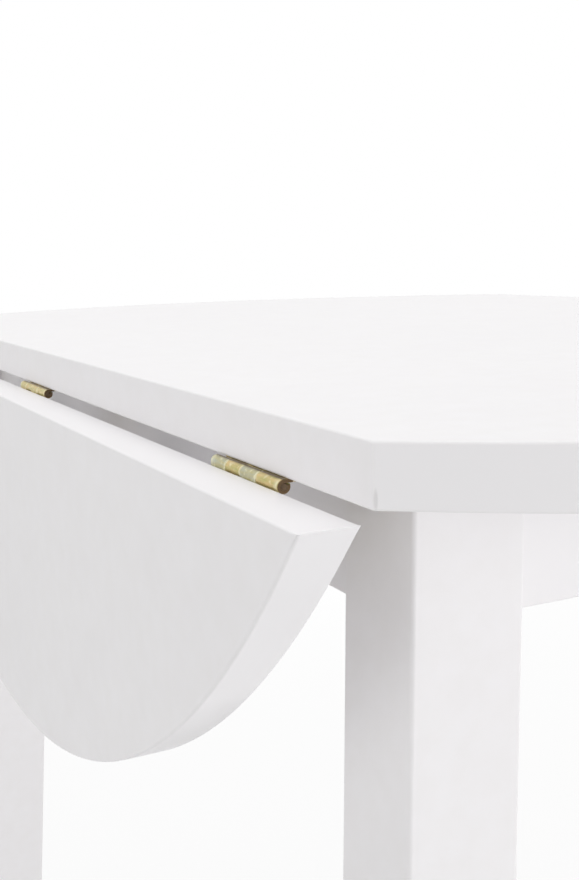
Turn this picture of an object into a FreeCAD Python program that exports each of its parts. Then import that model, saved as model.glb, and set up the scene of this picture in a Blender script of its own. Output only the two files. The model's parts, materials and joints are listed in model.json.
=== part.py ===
import FreeCAD, Part
import math
import os

# Round drop-leaf dining table: a fixed centre board with arc ends, two D-shaped leaves on butt hinges, and square
# legs that lean outwards. Lengths are in millimetres and angles in degrees. +Z is up, and the origin is on the floor
# under the middle of the top. The seams run along Y. The front is at -Y and the left is at -X. Both leaves hang down.

# Boards
top_diameter = 900.0
centre_width = 565.0
board_thickness = 18.0
table_height = 750.0
seam_gap = 2.0
rim_round = 1.0
seam_round = 0.8

# Legs: the insets are measured at the top of the leg, from the seam and from the corner of the centre board
leg_width = 42.0
leg_lean = 3.43
leg_arris = 1.5
leg_foot_chamfer = 1.2
leg_side_inset = 39.0
leg_end_inset = 41.0

# Foot glides
glide_height = 4.0
glide_radius = 15.0
glide_chamfer = 1.2
glide_nail_radius = 1.5
glide_nail_length = 14.0

# Aprons: the setbacks are measured from the outer faces of the legs, at their top
apron_height = 52.0
apron_thickness = 20.0
apron_arris = 1.0
apron_side_setback = 2.0
apron_end_setback = 4.5

# Butt hinges: rolled knuckles on a plain pin, three to a leaf, with the middle one a little to one side
hinge_plate_thickness = 1.1
hinge_plate_width = 20.0
hinge_plate_corner = 2.0
hinge_pin_radius = 1.05
end_knuckle = 15.5
knuckle = 11.5
knuckle_count = 4
knuckle_gap = 0.3
knuckle_relief = 0.5
curl_slit = 0.3
hinge_corner_distance = 73.0
hinge_middle_offset = 13.0
hinge_screw_offset = 12.0
hinge_screw_pitch = 32.0

# Wood screws
screw_radius = 1.6
screw_head_radius = 3.2
screw_sink = 1.6
screw_head_height = 2.0
screw_tip = 3.0
hinge_screw_length = 13.0
bracket_screw_length = 15.0

# Corner brackets, hanger bolts and flange nuts: bend_radius is the inner radius of every fold
sheet_thickness = 2.0
bend_radius = 0.6
corner_bracket_height = 36.0
corner_bracket_flange = 24.0
corner_bracket_stand = 14.0
bolt_radius = 4.0
bolt_depth = 30.0
nut_across_flats = 13.0
nut_height = 6.5
nut_flange_radius = 9.0
nut_flange_height = 1.6
bolt_tail = 3.0

# Angle brackets between the aprons and the centre board
angle_leg = 20.0
angle_width = 16.0
angle_offset = 120.0

# Props: an arm that swings up from a fork on the side apron to a strike plate under the raised leaf
prop_offset = 100.0
prop_angle = 22.0
prop_width = 12.0
prop_thickness = 8.0
prop_standoff = 14.0
prop_pivot_rise = 8.0
prop_rivet_radius = 2.5
rivet_head_radius = 4.0
rivet_head_height = 1.2
fork_round = 8.0
fork_base_height = 24.0
fork_base_corner = 2.0
fork_flange = 14.0
strike_thickness = 1.5
strike_lip = 3.5
strike_width = 26.0
strike_back = 16.0
strike_screw_pitch = 16.0
strike_screw_back = 10.0

# Clearances
running_clearance = 0.05
side_clearance = 0.3
tip_clearance = 0.3
tip_play = 0.5

# Places that follow from the sizes above
UP = FreeCAD.Vector(0, 0, 1)
ALONG = FreeCAD.Vector(0, 1, 0)
ACROSS = FreeCAD.Vector(1, 0, 0)
ORIGIN = FreeCAD.Vector(0, 0, 0)

rim_radius = top_diameter / 2
half_width = centre_width / 2
half_chord = math.sqrt(rim_radius ** 2 - half_width ** 2)
underside = table_height - board_thickness
lean = math.tan(math.radians(leg_lean))
hinge_bore = hinge_pin_radius + running_clearance
barrel_radius = hinge_bore + hinge_plate_thickness
hinge_length = end_knuckle + (knuckle_count - 1) * knuckle
pin_x = half_width + seam_gap / 2
pin_z = underside - barrel_radius
hinge_places = [half_chord - hinge_corner_distance, hinge_middle_offset, hinge_corner_distance - half_chord]

leg_x = half_width - leg_side_inset
leg_y = half_chord - leg_end_inset
apron_x = leg_x - apron_side_setback
apron_y = leg_y - apron_end_setback
apron_inner_x = apron_x - apron_thickness
apron_inner_y = apron_y - apron_thickness
apron_bottom = underside - apron_height
apron_middle = underside - apron_height / 2

prop_half = prop_width / 2
pivot_x = apron_x + prop_standoff
pivot_z = apron_bottom + prop_pivot_rise
prop_lift = underside - strike_thickness - tip_clearance - prop_half - pivot_z
prop_length = prop_lift / math.sin(math.radians(prop_angle))
tip_x = pivot_x + prop_length * math.cos(math.radians(prop_angle))


def prism(points, start, sweep):
    """Extrudes a closed outline of (x, y, z) points, moved to start, along the vector sweep."""
    corners = [FreeCAD.Vector(point) + start for point in points]
    outline = Part.makePolygon(corners + corners[:1])
    return Part.Face(outline).extrude(sweep)


def block(low, high):
    """Makes a box between two opposite corners, given in any order."""
    corner = [min(a, b) for a, b in zip(low, high)]
    size = [abs(a - b) for a, b in zip(low, high)]
    return Part.makeBox(*size, FreeCAD.Vector(*corner))


def turned(profile, base, axis):
    """Turns a closed (radius, height) profile about an axis that starts at base."""
    points = [FreeCAD.Vector(radius, 0, height) for radius, height in profile]
    outline = Part.makePolygon(points + points[:1])
    solid = Part.Face(outline).revolve(ORIGIN, UP, 360)
    solid.Placement = FreeCAD.Placement(base, FreeCAD.Rotation(UP, axis))
    return solid


def straight_edges(shape, test):
    """Picks the edges of a shape whose two ends both pass a test."""
    return [edge for edge in shape.Edges if len(edge.Vertexes) == 2 and all(test(v.Point) for v in edge.Vertexes)]


def near(a, b):
    """Tells whether two lengths agree to a thousandth of a millimetre."""
    return abs(a - b) < 0.001


def edges_on(shape, points, along):
    """Picks the edges of a shape that lie on lines through the given points along a direction."""
    return [
        edge
        for edge in shape.Edges
        if any(all(near(v.Point.distanceToLine(point, along), 0) for v in edge.Vertexes) for point in points)
    ]


def folded(shape, outer, inner, along, thickness):
    """Rounds a sheet's folds, whose outer and inner edges lie on lines through the given points."""
    shape = shape.makeFillet(bend_radius + thickness, edges_on(shape, outer, along))
    return shape.makeFillet(bend_radius, edges_on(shape, inner, along))


def countersunk_screw(base, axis, length):
    """A flat-headed wood screw driven along axis, with the middle of its head's face at base."""
    profile = [(0, 0), (screw_head_radius, 0), (screw_radius, screw_sink)]
    profile += [(screw_radius, length - screw_tip), (0, length)]
    return turned(profile, base, axis)


def countersunk_hole(base, axis, length):
    """The sunk hole that a flat-headed screw seats in."""
    bore = screw_radius + running_clearance
    profile = [(0, 0), (screw_head_radius + running_clearance, 0), (bore, screw_sink)]
    profile += [(bore, length + running_clearance), (0, length + running_clearance)]
    return turned(profile, base, axis)


def pan_screw(base, axis, length):
    """A pan-headed wood screw driven along axis, with the seat of its head at base."""
    crown = screw_head_radius - screw_head_height / 2
    profile = [(0, -screw_head_height), (crown, -screw_head_height), (screw_head_radius, -screw_head_height / 2)]
    profile += [(screw_head_radius, 0), (screw_radius, 0), (screw_radius, length - screw_tip), (0, length)]
    return turned(profile, base, axis)


def pan_hole(base, axis, length):
    """The straight hole that a pan-headed screw goes through."""
    return Part.makeCylinder(screw_radius + running_clearance, length + running_clearance, base, axis)


def rim_disc(middle_x):
    """The whole round board, with its upper rim rounded over and its lower rim eased."""
    disc = Part.makeCylinder(rim_radius, board_thickness, FreeCAD.Vector(middle_x, 0, underside))
    rims = [edge for edge in disc.Edges if near(edge.BoundBox.ZLength, 0)]
    upper = [edge for edge in rims if near(edge.BoundBox.ZMin, table_height)]
    disc = disc.makeFillet(rim_round, upper)
    lower = [edge for edge in disc.Edges if near(edge.BoundBox.ZMax, underside)]
    return disc.makeFillet(seam_round, lower)


def seam_slab(low_x, high_x, seams):
    """A board-thick slab with eased edges along the seams, which cuts a board from the round one."""
    slab = block((low_x, -top_diameter, underside), (high_x, top_diameter, table_height))
    arrises = straight_edges(slab, lambda p: any(near(p.x, x) for x in seams))
    long_ones = [edge for edge in arrises if edge.Length > top_diameter]
    return slab.makeFillet(seam_round, long_ones)


def hinge_plate(middle_y, outward, first):
    """One plate of an open hinge with its own rolled knuckles, and the screws that hold it.

    outward is 1 for the leaf's plate and -1 for the top's plate. first is the place of its first knuckle, counted
    from the end with the longer knuckle. Returns the plate, its screws and the holes they need.
    """
    start = hinge_length / 2
    plate = block(
        (outward * (barrel_radius + knuckle_relief), -start, barrel_radius - hinge_plate_thickness),
        (outward * hinge_plate_width, start, barrel_radius),
    )
    corners = [edge for edge in plate.Edges if near(edge.BoundBox.ZLength, hinge_plate_thickness)]
    far_ones = [edge for edge in corners if near(edge.BoundBox.Center.x, outward * hinge_plate_width)]
    plate = plate.makeFillet(hinge_plate_corner, far_ones)
    spans = []
    for place in range(knuckle_count):
        long = end_knuckle if place == 0 else knuckle
        spans.append((start - long + knuckle_gap / 2, start - knuckle_gap / 2))
        start -= long
    for low, high in spans[first::2]:
        barrel = Part.makeCylinder(barrel_radius, high - low, FreeCAD.Vector(0, low, 0), ALONG)
        strap = block(
            (0, low, barrel_radius - hinge_plate_thickness),
            (outward * (barrel_radius + knuckle_relief), high, barrel_radius),
        )
        bore = Part.makeCylinder(hinge_bore, high - low, FreeCAD.Vector(0, low, 0), ALONG)
        slit = block(
            (0, low, hinge_bore - curl_slit),
            (outward * (barrel_radius + knuckle_relief), high, hinge_bore),
        )
        plate = plate.fuse([barrel.cut([bore, slit]), strap.cut(bore)])
    plate = plate.removeSplitter()
    screws = []
    holes = []
    for step in (-0.5, 0.5):
        seat = FreeCAD.Vector(
            outward * hinge_screw_offset, step * hinge_screw_pitch, barrel_radius - hinge_plate_thickness
        )
        screws.append(countersunk_screw(seat, UP, hinge_screw_length))
        holes.append(countersunk_hole(seat, UP, hinge_screw_length))
    plate = plate.cut(holes)
    axis_point = FreeCAD.Vector(pin_x, middle_y, pin_z)
    moved = [[piece.translated(axis_point) for piece in group] for group in ([plate], screws, holes)]
    return moved[0][0], moved[1], moved[2]


def hinge_pin(middle_y):
    """The plain pin that runs the length of the barrel."""
    end = FreeCAD.Vector(pin_x, middle_y - hinge_length / 2, pin_z)
    return Part.makeCylinder(hinge_pin_radius, hinge_length, end, ALONG)


def hang(shape):
    """Lowers a piece of a level leaf to where it hangs."""
    return shape.rotated(FreeCAD.Vector(pin_x, 0, pin_z), ALONG, 90)


def leg_and_glide():
    """A leaning square leg in the +X +Y corner with eased arrises, and the glide nailed under it."""
    height = underside - glide_height
    shift = lean * height
    outer_x = leg_x + shift
    outer_y = leg_y + shift
    foot = [
        (outer_x - leg_width, outer_y - leg_width, glide_height),
        (outer_x, outer_y - leg_width, glide_height),
        (outer_x, outer_y, glide_height),
        (outer_x - leg_width, outer_y, glide_height),
    ]
    leg = prism(foot, ORIGIN, FreeCAD.Vector(-shift, -shift, height))
    leg = leg.makeFillet(leg_arris, [edge for edge in leg.Edges if edge.BoundBox.ZLength > height / 2])
    leg = leg.makeChamfer(leg_foot_chamfer, [edge for edge in leg.Edges if near(edge.BoundBox.ZMax, glide_height)])
    middle = FreeCAD.Vector(outer_x - leg_width / 2, outer_y - leg_width / 2, 0)
    rim = glide_radius - glide_chamfer
    top = glide_height + glide_nail_length
    profile = [(0, 0), (rim, 0), (glide_radius, glide_chamfer), (glide_radius, glide_height)]
    profile += [(glide_nail_radius, glide_height), (glide_nail_radius, top), (0, top)]
    glide = turned(profile, middle, UP)
    nail_hole = Part.makeCylinder(
        glide_nail_radius + running_clearance, top + running_clearance, middle, UP
    )
    return leg.cut(nail_hole), glide


def apron_board(half_length, across, face):
    """An apron whose ends lean to meet the legs, with its long lower edges eased.

    across is the direction of its thickness, and face is the place of its outer face that way.
    """
    along = ALONG if across == ACROSS else ACROSS
    spread = half_length + lean * apron_height
    corners = [
        along * -half_length + UP * underside,
        along * half_length + UP * underside,
        along * spread + UP * apron_bottom,
        along * -spread + UP * apron_bottom,
    ]
    board = prism(corners, across * (face - apron_thickness), across * apron_thickness)
    arrises = straight_edges(board, lambda p: near(p.z, apron_bottom))
    return board.makeFillet(apron_arris, [edge for edge in arrises if edge.Length > half_length])


def corner_fixing():
    """The pressed bracket, hanger bolt, flange nut and screws of the +X +Y corner, and the holes that they need."""
    diagonal = FreeCAD.Vector(1, 1, 0).normalize()
    leg_corner = FreeCAD.Vector(leg_x - leg_width, leg_y - leg_width, apron_middle)
    leg_corner += FreeCAD.Vector(1, 1, 0) * lean * (apron_height / 2)
    web_point = leg_corner - diagonal * corner_bracket_stand
    web_sum = web_point.x + web_point.y
    bend_y = web_sum - apron_inner_x
    bend_x = web_sum - apron_inner_y
    inner_step = sheet_thickness * math.tan(math.radians(22.5))
    low = apron_middle - corner_bracket_height / 2
    plan = [
        (apron_inner_x, bend_y - corner_bracket_flange, low),
        (apron_inner_x, bend_y, low),
        (bend_x, apron_inner_y, low),
        (bend_x - corner_bracket_flange, apron_inner_y, low),
        (bend_x - corner_bracket_flange, apron_inner_y - sheet_thickness, low),
        (bend_x - inner_step, apron_inner_y - sheet_thickness, low),
        (apron_inner_x - sheet_thickness, bend_y - inner_step, low),
        (apron_inner_x - sheet_thickness, bend_y - corner_bracket_flange, low),
    ]
    bracket = prism(plan, ORIGIN, UP * corner_bracket_height)
    outer_folds = [FreeCAD.Vector(apron_inner_x, bend_y, low), FreeCAD.Vector(bend_x, apron_inner_y, low)]
    inner_folds = [
        FreeCAD.Vector(apron_inner_x - sheet_thickness, bend_y - inner_step, low),
        FreeCAD.Vector(bend_x - inner_step, apron_inner_y - sheet_thickness, low),
    ]
    bracket = folded(bracket, outer_folds, inner_folds, UP, sheet_thickness)

    nut_seat = web_point - diagonal * sheet_thickness
    bolt_start = nut_seat - diagonal * (nut_height + bolt_tail)
    bolt_length = (leg_corner - bolt_start).Length + bolt_depth
    bolt = Part.makeCylinder(bolt_radius, bolt_length, bolt_start, diagonal)
    bolt_hole = Part.makeCylinder(bolt_radius + running_clearance, bolt_length, bolt_start, diagonal)

    half_flat = nut_across_flats / 2
    corner_radius = half_flat / math.cos(math.radians(30))
    hexagon = [
        (corner_radius * math.cos(math.radians(60 * k)), corner_radius * math.sin(math.radians(60 * k)), 0)
        for k in range(6)
    ]
    nut = prism(hexagon, ORIGIN, UP * nut_height)
    nut = nut.fuse(Part.makeCylinder(nut_flange_radius, nut_flange_height))
    nut.Placement = FreeCAD.Placement(nut_seat, FreeCAD.Rotation(UP, diagonal * -1))
    nut = nut.cut(bolt_hole)

    side_seat = FreeCAD.Vector(
        apron_inner_x - sheet_thickness, bend_y - corner_bracket_flange / 2, apron_middle
    )
    end_seat = FreeCAD.Vector(
        bend_x - corner_bracket_flange / 2, apron_inner_y - sheet_thickness, apron_middle
    )
    screws = [pan_screw(side_seat, ACROSS, bracket_screw_length), pan_screw(end_seat, ALONG, bracket_screw_length)]
    holes = [pan_hole(side_seat, ACROSS, bracket_screw_length), pan_hole(end_seat, ALONG, bracket_screw_length)]
    bracket = bracket.cut(holes + [bolt_hole])
    return bracket, bolt, nut, screws, holes, bolt_hole


def angle_bracket(place, turn):
    """An angle bracket with its screws and holes. place is on the apron's inner face at the underside of the top."""
    outline = [
        (0, 0, 0),
        (-angle_leg, 0, 0),
        (-angle_leg, 0, -sheet_thickness),
        (-sheet_thickness, 0, -sheet_thickness),
        (-sheet_thickness, 0, -angle_leg),
        (0, 0, -angle_leg),
    ]
    bracket = prism(outline, ALONG * (-angle_width / 2), ALONG * angle_width)
    inner_fold = FreeCAD.Vector(-sheet_thickness, 0, -sheet_thickness)
    bracket = folded(bracket, [ORIGIN], [inner_fold], ALONG, sheet_thickness)
    reach = (angle_leg + sheet_thickness) / 2
    up_seat = FreeCAD.Vector(-reach, 0, -sheet_thickness)
    side_seat = FreeCAD.Vector(-sheet_thickness, 0, -reach)
    screws = [pan_screw(up_seat, UP, bracket_screw_length), pan_screw(side_seat, ACROSS, bracket_screw_length)]
    holes = [pan_hole(up_seat, UP, bracket_screw_length), pan_hole(side_seat, ACROSS, bracket_screw_length)]
    bracket = bracket.cut(holes)
    moved = []
    for group in ([bracket], screws, holes):
        moved.append([piece.rotated(ORIGIN, UP, turn).translated(place) for piece in group])
    return moved[0][0], moved[1], moved[2]


def prop_arm(middle_y):
    """The prop's arm as it hangs: a flat bar with round ends and a pivot hole."""
    low = middle_y - prop_thickness / 2
    pivot = FreeCAD.Vector(pivot_x, low, pivot_z)
    tip = pivot - UP * prop_length
    bar = block((pivot_x - prop_half, low, tip.z), (pivot_x + prop_half, low + prop_thickness, pivot_z))
    ends = [Part.makeCylinder(prop_half, prop_thickness, end, ALONG) for end in (pivot, tip)]
    hole = Part.makeCylinder(prop_rivet_radius + running_clearance, prop_thickness, pivot, ALONG)
    return bar.fuse(ends).removeSplitter().cut(hole)


def prop_fork(middle_y):
    """The pressed fork on the apron's face, with the rivet that carries the arm, its screws and their holes."""
    inner = prop_thickness / 2 + side_clearance
    outer = inner + sheet_thickness
    pivot = FreeCAD.Vector(pivot_x, middle_y, pivot_z)
    base_low = pivot_z - fork_round
    base = block(
        (apron_x, middle_y - outer - fork_flange, base_low),
        (apron_x + sheet_thickness, middle_y + outer + fork_flange, base_low + fork_base_height),
    )
    corners = [edge for edge in base.Edges if near(edge.BoundBox.XLength, sheet_thickness)]
    base = base.makeFillet(fork_base_corner, corners)
    ears = []
    for low in (middle_y - outer, middle_y + inner):
        web = block(
            (apron_x, low, pivot_z - fork_round),
            (pivot_x, low + sheet_thickness, pivot_z + fork_round),
        )
        eye = Part.makeCylinder(fork_round, sheet_thickness, FreeCAD.Vector(pivot_x, low, pivot_z), ALONG)
        ears += [web, eye]
    rivet_hole = Part.makeCylinder(
        prop_rivet_radius + running_clearance, 2 * outer, pivot - ALONG * outer, ALONG
    )
    screws = []
    holes = []
    for step in (-1, 1):
        seat = FreeCAD.Vector(
            apron_x + sheet_thickness,
            middle_y + step * (outer + fork_flange / 2),
            base_low + fork_base_height / 2,
        )
        screws.append(pan_screw(seat, ACROSS * -1, bracket_screw_length))
        holes.append(pan_hole(seat, ACROSS * -1, bracket_screw_length))
    fork = base.fuse(ears).removeSplitter().cut([rivet_hole] + holes)
    profile = [(0, -rivet_head_height), (rivet_head_radius, -rivet_head_height), (rivet_head_radius, 0)]
    profile += [(prop_rivet_radius, 0), (prop_rivet_radius, 2 * outer), (rivet_head_radius, 2 * outer)]
    profile += [(rivet_head_radius, 2 * outer + rivet_head_height), (0, 2 * outer + rivet_head_height)]
    rivet = turned(profile, pivot - ALONG * outer, ALONG)
    return fork, rivet, screws, holes


def strike_plate(middle_y):
    """The strike under a level leaf, with a lip that stops the arm's tip, its screws and their holes."""
    lip_x = tip_x + prop_half + tip_play
    face = underside - strike_thickness
    outline = [
        (tip_x - strike_back, 0, underside),
        (lip_x + strike_thickness, 0, underside),
        (lip_x + strike_thickness, 0, face - strike_lip),
        (lip_x, 0, face - strike_lip),
        (lip_x, 0, face),
        (tip_x - strike_back, 0, face),
    ]
    plate = prism(outline, ALONG * (middle_y - strike_width / 2), ALONG * strike_width)
    outer_fold = FreeCAD.Vector(lip_x + strike_thickness, 0, underside)
    plate = folded(plate, [outer_fold], [FreeCAD.Vector(lip_x, 0, face)], ALONG, strike_thickness)
    screws = []
    holes = []
    for step in (-0.5, 0.5):
        seat = FreeCAD.Vector(tip_x - strike_screw_back, middle_y + step * strike_screw_pitch, face)
        screws.append(countersunk_screw(seat, UP, hinge_screw_length))
        holes.append(countersunk_hole(seat, UP, hinge_screw_length))
    return plate.cut(holes), screws, holes


def to_side(shape, side):
    """Moves a piece from the right side, where it is built, to the named side."""
    return shape.rotated(ORIGIN, UP, 180) if side == "left" else shape


def to_corner(shape, left, front):
    """Mirrors a piece from the right rear corner, where it is built, to another corner."""
    if left:
        shape = shape.mirror(ORIGIN, ACROSS)
    if front:
        shape = shape.mirror(ORIGIN, ALONG)
    return shape


def end_name(y):
    """Names a place along the seam, where the middle is as wide as a hinge is long, each way."""
    if abs(y) < hinge_length:
        return "middle"
    return "front" if y < 0 else "rear"


nodes = {}
top_holes = []
apron_holes = []
frame_hinge_screws = []
prop_rivets = []
prop_fork_screws = []

# Leaves, hinges and props, built level on the right side
for side in ("left", "right"):
    turn = -1 if side == "left" else 1
    leaf_edge = half_width + seam_gap
    leaf = rim_disc(seam_gap).common(seam_slab(leaf_edge, leaf_edge + rim_radius, [leaf_edge]))
    leaf_holes = []
    leaf_screws = []
    for middle_y in hinge_places:
        name = f"{side}_{end_name(turn * middle_y)}_hinge"
        top_plate, screws, holes = hinge_plate(middle_y, -1, 0)
        frame_hinge_screws += [to_side(screw, side) for screw in screws]
        top_holes += [to_side(hole, side) for hole in holes]
        leaf_plate, screws, holes = hinge_plate(middle_y, 1, 1)
        leaf_screws += screws
        leaf_holes += holes
        nodes[f"{name}_top_plate"] = to_side(top_plate, side)
        nodes[f"{name}_leaf_plate"] = to_side(hang(leaf_plate), side)
        nodes[f"{name}_pin"] = to_side(hinge_pin(middle_y), side)
    for middle_y in (prop_offset, -prop_offset):
        name = f"{side}_{end_name(turn * middle_y)}"
        fork, rivet, screws, holes = prop_fork(middle_y)
        nodes[f"{name}_prop_arm"] = to_side(prop_arm(middle_y), side)
        nodes[f"{name}_prop_fork"] = to_side(fork, side)
        prop_rivets.append(to_side(rivet, side))
        prop_fork_screws += [to_side(screw, side) for screw in screws]
        apron_holes += [to_side(hole, side) for hole in holes]
        strike, screws, holes = strike_plate(middle_y)
        nodes[f"{name}_strike_plate"] = to_side(hang(strike), side)
        leaf_screws += screws
        leaf_holes += holes
    nodes[f"{side}_leaf"] = to_side(hang(leaf.cut(leaf_holes)), side)
    nodes[f"{side}_leaf_screws"] = to_side(hang(Part.makeCompound(leaf_screws)), side)

# Legs, glides and corner fixings, built at the right rear corner
leg, glide = leg_and_glide()
bracket, bolt, nut, screws, holes, bolt_hole = corner_fixing()
leg = leg.cut(bolt_hole)
leg_bolts = []
leg_nuts = []
corner_screws = []
for left in (True, False):
    for front in (True, False):
        name = f"{'front' if front else 'rear'}_{'left' if left else 'right'}"
        nodes[f"{name}_leg"] = to_corner(leg, left, front)
        nodes[f"{name}_glide"] = to_corner(glide, left, front)
        nodes[f"{name}_corner_bracket"] = to_corner(bracket, left, front)
        leg_bolts.append(to_corner(bolt, left, front))
        leg_nuts.append(to_corner(nut, left, front))
        corner_screws += [to_corner(screw, left, front) for screw in screws]
        apron_holes += [to_corner(hole, left, front) for hole in holes]

# Angle brackets: two on each side apron and one on each end apron
angle_places = [(apron_inner_x, y, 0) for y in (-angle_offset, angle_offset)]
angle_places += [(-apron_inner_x, y, 180) for y in (-angle_offset, angle_offset)]
angle_places += [(0, apron_inner_y, 90), (0, -apron_inner_y, -90)]
angle_brackets = []
angle_screws = []
for x, y, turn in angle_places:
    bracket, screws, holes = angle_bracket(FreeCAD.Vector(x, y, underside), turn)
    angle_brackets.append(bracket)
    angle_screws += screws
    top_holes += holes[:1]
    apron_holes += holes[1:]

# Aprons and the centre board, with the holes of everything that is screwed to them
side_apron = apron_board(leg_y - leg_width, ACROSS, apron_x)
end_apron = apron_board(leg_x - leg_width, ALONG, apron_y)
nodes["right_side_apron"] = side_apron.cut(apron_holes)
nodes["left_side_apron"] = side_apron.rotated(ORIGIN, UP, 180).cut(apron_holes)
nodes["rear_end_apron"] = end_apron.cut(apron_holes)
nodes["front_end_apron"] = end_apron.rotated(ORIGIN, UP, 180).cut(apron_holes)
centre_slab = seam_slab(-half_width, half_width, [-half_width, half_width])
nodes["centre_top"] = rim_disc(0).common(centre_slab).cut(top_holes)

# Fasteners that are alike share a node
nodes["hinge_top_screws"] = Part.makeCompound(frame_hinge_screws)
nodes["leg_bolts"] = Part.makeCompound(leg_bolts)
nodes["leg_nuts"] = Part.makeCompound(leg_nuts)
nodes["corner_bracket_screws"] = Part.makeCompound(corner_screws)
nodes["angle_brackets"] = Part.makeCompound(angle_brackets)
nodes["angle_bracket_screws"] = Part.makeCompound(angle_screws)
nodes["prop_rivets"] = Part.makeCompound(prop_rivets)
nodes["prop_fork_screws"] = Part.makeCompound(prop_fork_screws)

os.makedirs("parts", exist_ok=True)
for name, shape in nodes.items():
    shape.exportStep(f"parts/{name}.step")
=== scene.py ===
"""Looks of a round drop-leaf dining table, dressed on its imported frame.

Lengths are in metres and angles in radians. +Z is up, the seams run along Y, the front is at -Y and the left
is at -X. Both leaves hang down at rest. Every new piece is made of shells, and a shell is a stack of closed
loops of points.
"""

import json
import logging
import math
from abc import ABC, abstractmethod
from dataclasses import dataclass
from enum import Enum

import bmesh
import bpy
import numpy as np
from mathutils import Matrix, Vector

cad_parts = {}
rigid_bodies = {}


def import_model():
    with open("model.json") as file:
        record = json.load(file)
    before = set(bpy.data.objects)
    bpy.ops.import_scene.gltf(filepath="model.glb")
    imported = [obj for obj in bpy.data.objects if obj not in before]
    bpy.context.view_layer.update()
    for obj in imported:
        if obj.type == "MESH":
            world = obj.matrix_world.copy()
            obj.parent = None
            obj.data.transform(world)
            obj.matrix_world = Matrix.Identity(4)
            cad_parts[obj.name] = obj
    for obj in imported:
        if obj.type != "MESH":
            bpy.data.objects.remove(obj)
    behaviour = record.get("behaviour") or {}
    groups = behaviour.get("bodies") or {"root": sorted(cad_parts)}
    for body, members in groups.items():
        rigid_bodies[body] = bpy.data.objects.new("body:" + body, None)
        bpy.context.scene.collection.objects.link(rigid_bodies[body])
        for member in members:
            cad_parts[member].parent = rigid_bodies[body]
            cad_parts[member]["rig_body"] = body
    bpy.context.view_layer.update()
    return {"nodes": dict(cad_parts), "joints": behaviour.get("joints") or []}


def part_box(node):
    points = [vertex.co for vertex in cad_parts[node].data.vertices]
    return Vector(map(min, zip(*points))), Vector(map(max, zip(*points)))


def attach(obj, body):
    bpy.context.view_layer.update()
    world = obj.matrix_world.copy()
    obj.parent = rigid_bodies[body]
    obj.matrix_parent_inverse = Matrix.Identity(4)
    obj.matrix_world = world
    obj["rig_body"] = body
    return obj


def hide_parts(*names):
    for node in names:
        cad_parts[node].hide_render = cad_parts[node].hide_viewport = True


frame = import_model()

MM = 0.001
MICRON = 0.000001
FULL_TURN = 2 * math.pi
QUARTER = math.pi / 2
X_AXIS, Y_AXIS, Z_AXIS = np.eye(3)
SHARP_ANGLE = math.radians(32)
WELD = 1e-7
NEAR_PARALLEL = 0.9
NOISE_MIDDLE = (0.3, 0.7)
WHITE = (1.0, 1.0, 1.0, 1.0)
Pair = tuple[float, float]
Triple = tuple[float, float, float]
Colour = Triple
Socket = bpy.types.NodeSocket

log = logging.getLogger("drop_leaf_table")


class Way(Enum):
    """A choice along an axis, with its sign there."""

    @property
    def word(self) -> str:
        """Its name as the nodes spell it."""
        return self.name.lower()


class Side(Way):
    """The two sides of the table, along X."""

    LEFT = -1
    RIGHT = 1


class End(Way):
    """The two ends of the table, along Y."""

    FRONT = -1
    REAR = 1


class Place(Way):
    """The places of the hinges, along Y."""

    FRONT = -1
    MIDDLE = 0
    REAR = 1


class Head(Enum):
    """The kinds of screw head."""

    SUNK = "countersunk"
    PAN = "pan"


# Shells


@dataclass
class Shell:
    """A closed surface: points, quads, the flat polygons of its ends, and how worn each point is, with its
    painted light.

    It runs from 0 for sound to 1 for thin, darker and in painted shade. On metal it also goes down to -1, for
    rubbed bright and for painted highlights.
    """

    points: np.ndarray
    quads: np.ndarray
    ends: list[np.ndarray]
    wear: np.ndarray

    def moved(self, points: np.ndarray) -> "Shell":
        """Returns the same surface through other points."""
        return Shell(points, self.quads, self.ends, self.wear)


def loft(loops: np.ndarray, wear: np.ndarray | float = 0.0, ring: bool = False) -> Shell:
    """Joins closed loops into a shell.

    Quad (i, j) has the corners P(i, j), P(i, j + 1), P(i + 1, j + 1) and P(i + 1, j), where i counts the
    loops and j goes round a loop. The first and last loops are closed by flat polygons, or joined to each
    other.

    Args:
        loops: Points, as an array of shape (loops, points in a loop, 3).
        wear: Wear and painted light of the points, in any form that spreads to the shape (loops, points in a
            loop).
        ring: Whether the last loop is joined to the first.

    Returns:
        The shell.
    """
    count, size, _ = loops.shape
    index = np.arange(count * size).reshape(count, size)
    start = index if ring else index[:-1]
    after = np.roll(index, -1, axis=0) if ring else index[1:]
    corners = [start, np.roll(start, -1, axis=1), np.roll(after, -1, axis=1), after]
    quads = np.stack(corners, axis=-1).reshape(-1, 4)
    ends = [] if ring else [index[0][::-1], index[-1]]
    return Shell(loops.reshape(-1, 3), quads, ends, np.broadcast_to(wear, (count, size)).reshape(-1))


def all_round(segments: int) -> np.ndarray:
    """Returns so many angles, evenly spaced over a full turn."""
    return np.linspace(0, FULL_TURN, segments, endpoint=False)


def unit_arc(angle: np.ndarray) -> np.ndarray:
    """Returns the points (cos a, sin a), of shape (n, 2)."""
    return np.stack([np.cos(angle), np.sin(angle)], axis=1)


def polar(radius: np.ndarray, angle: np.ndarray, height: np.ndarray) -> np.ndarray:
    """Places points round the third axis: P = (r cos a, r sin a, h)."""
    axes = np.broadcast_arrays(radius * np.cos(angle), radius * np.sin(angle), height)
    return np.stack(axes, axis=-1)


def turned(profile: np.ndarray, segments: int) -> np.ndarray:
    """Turns a profile of (radius, height) pairs about the third axis, into loops of so many points."""
    return polar(profile[:, :1], all_round(segments), profile[:, 1:])


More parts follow.
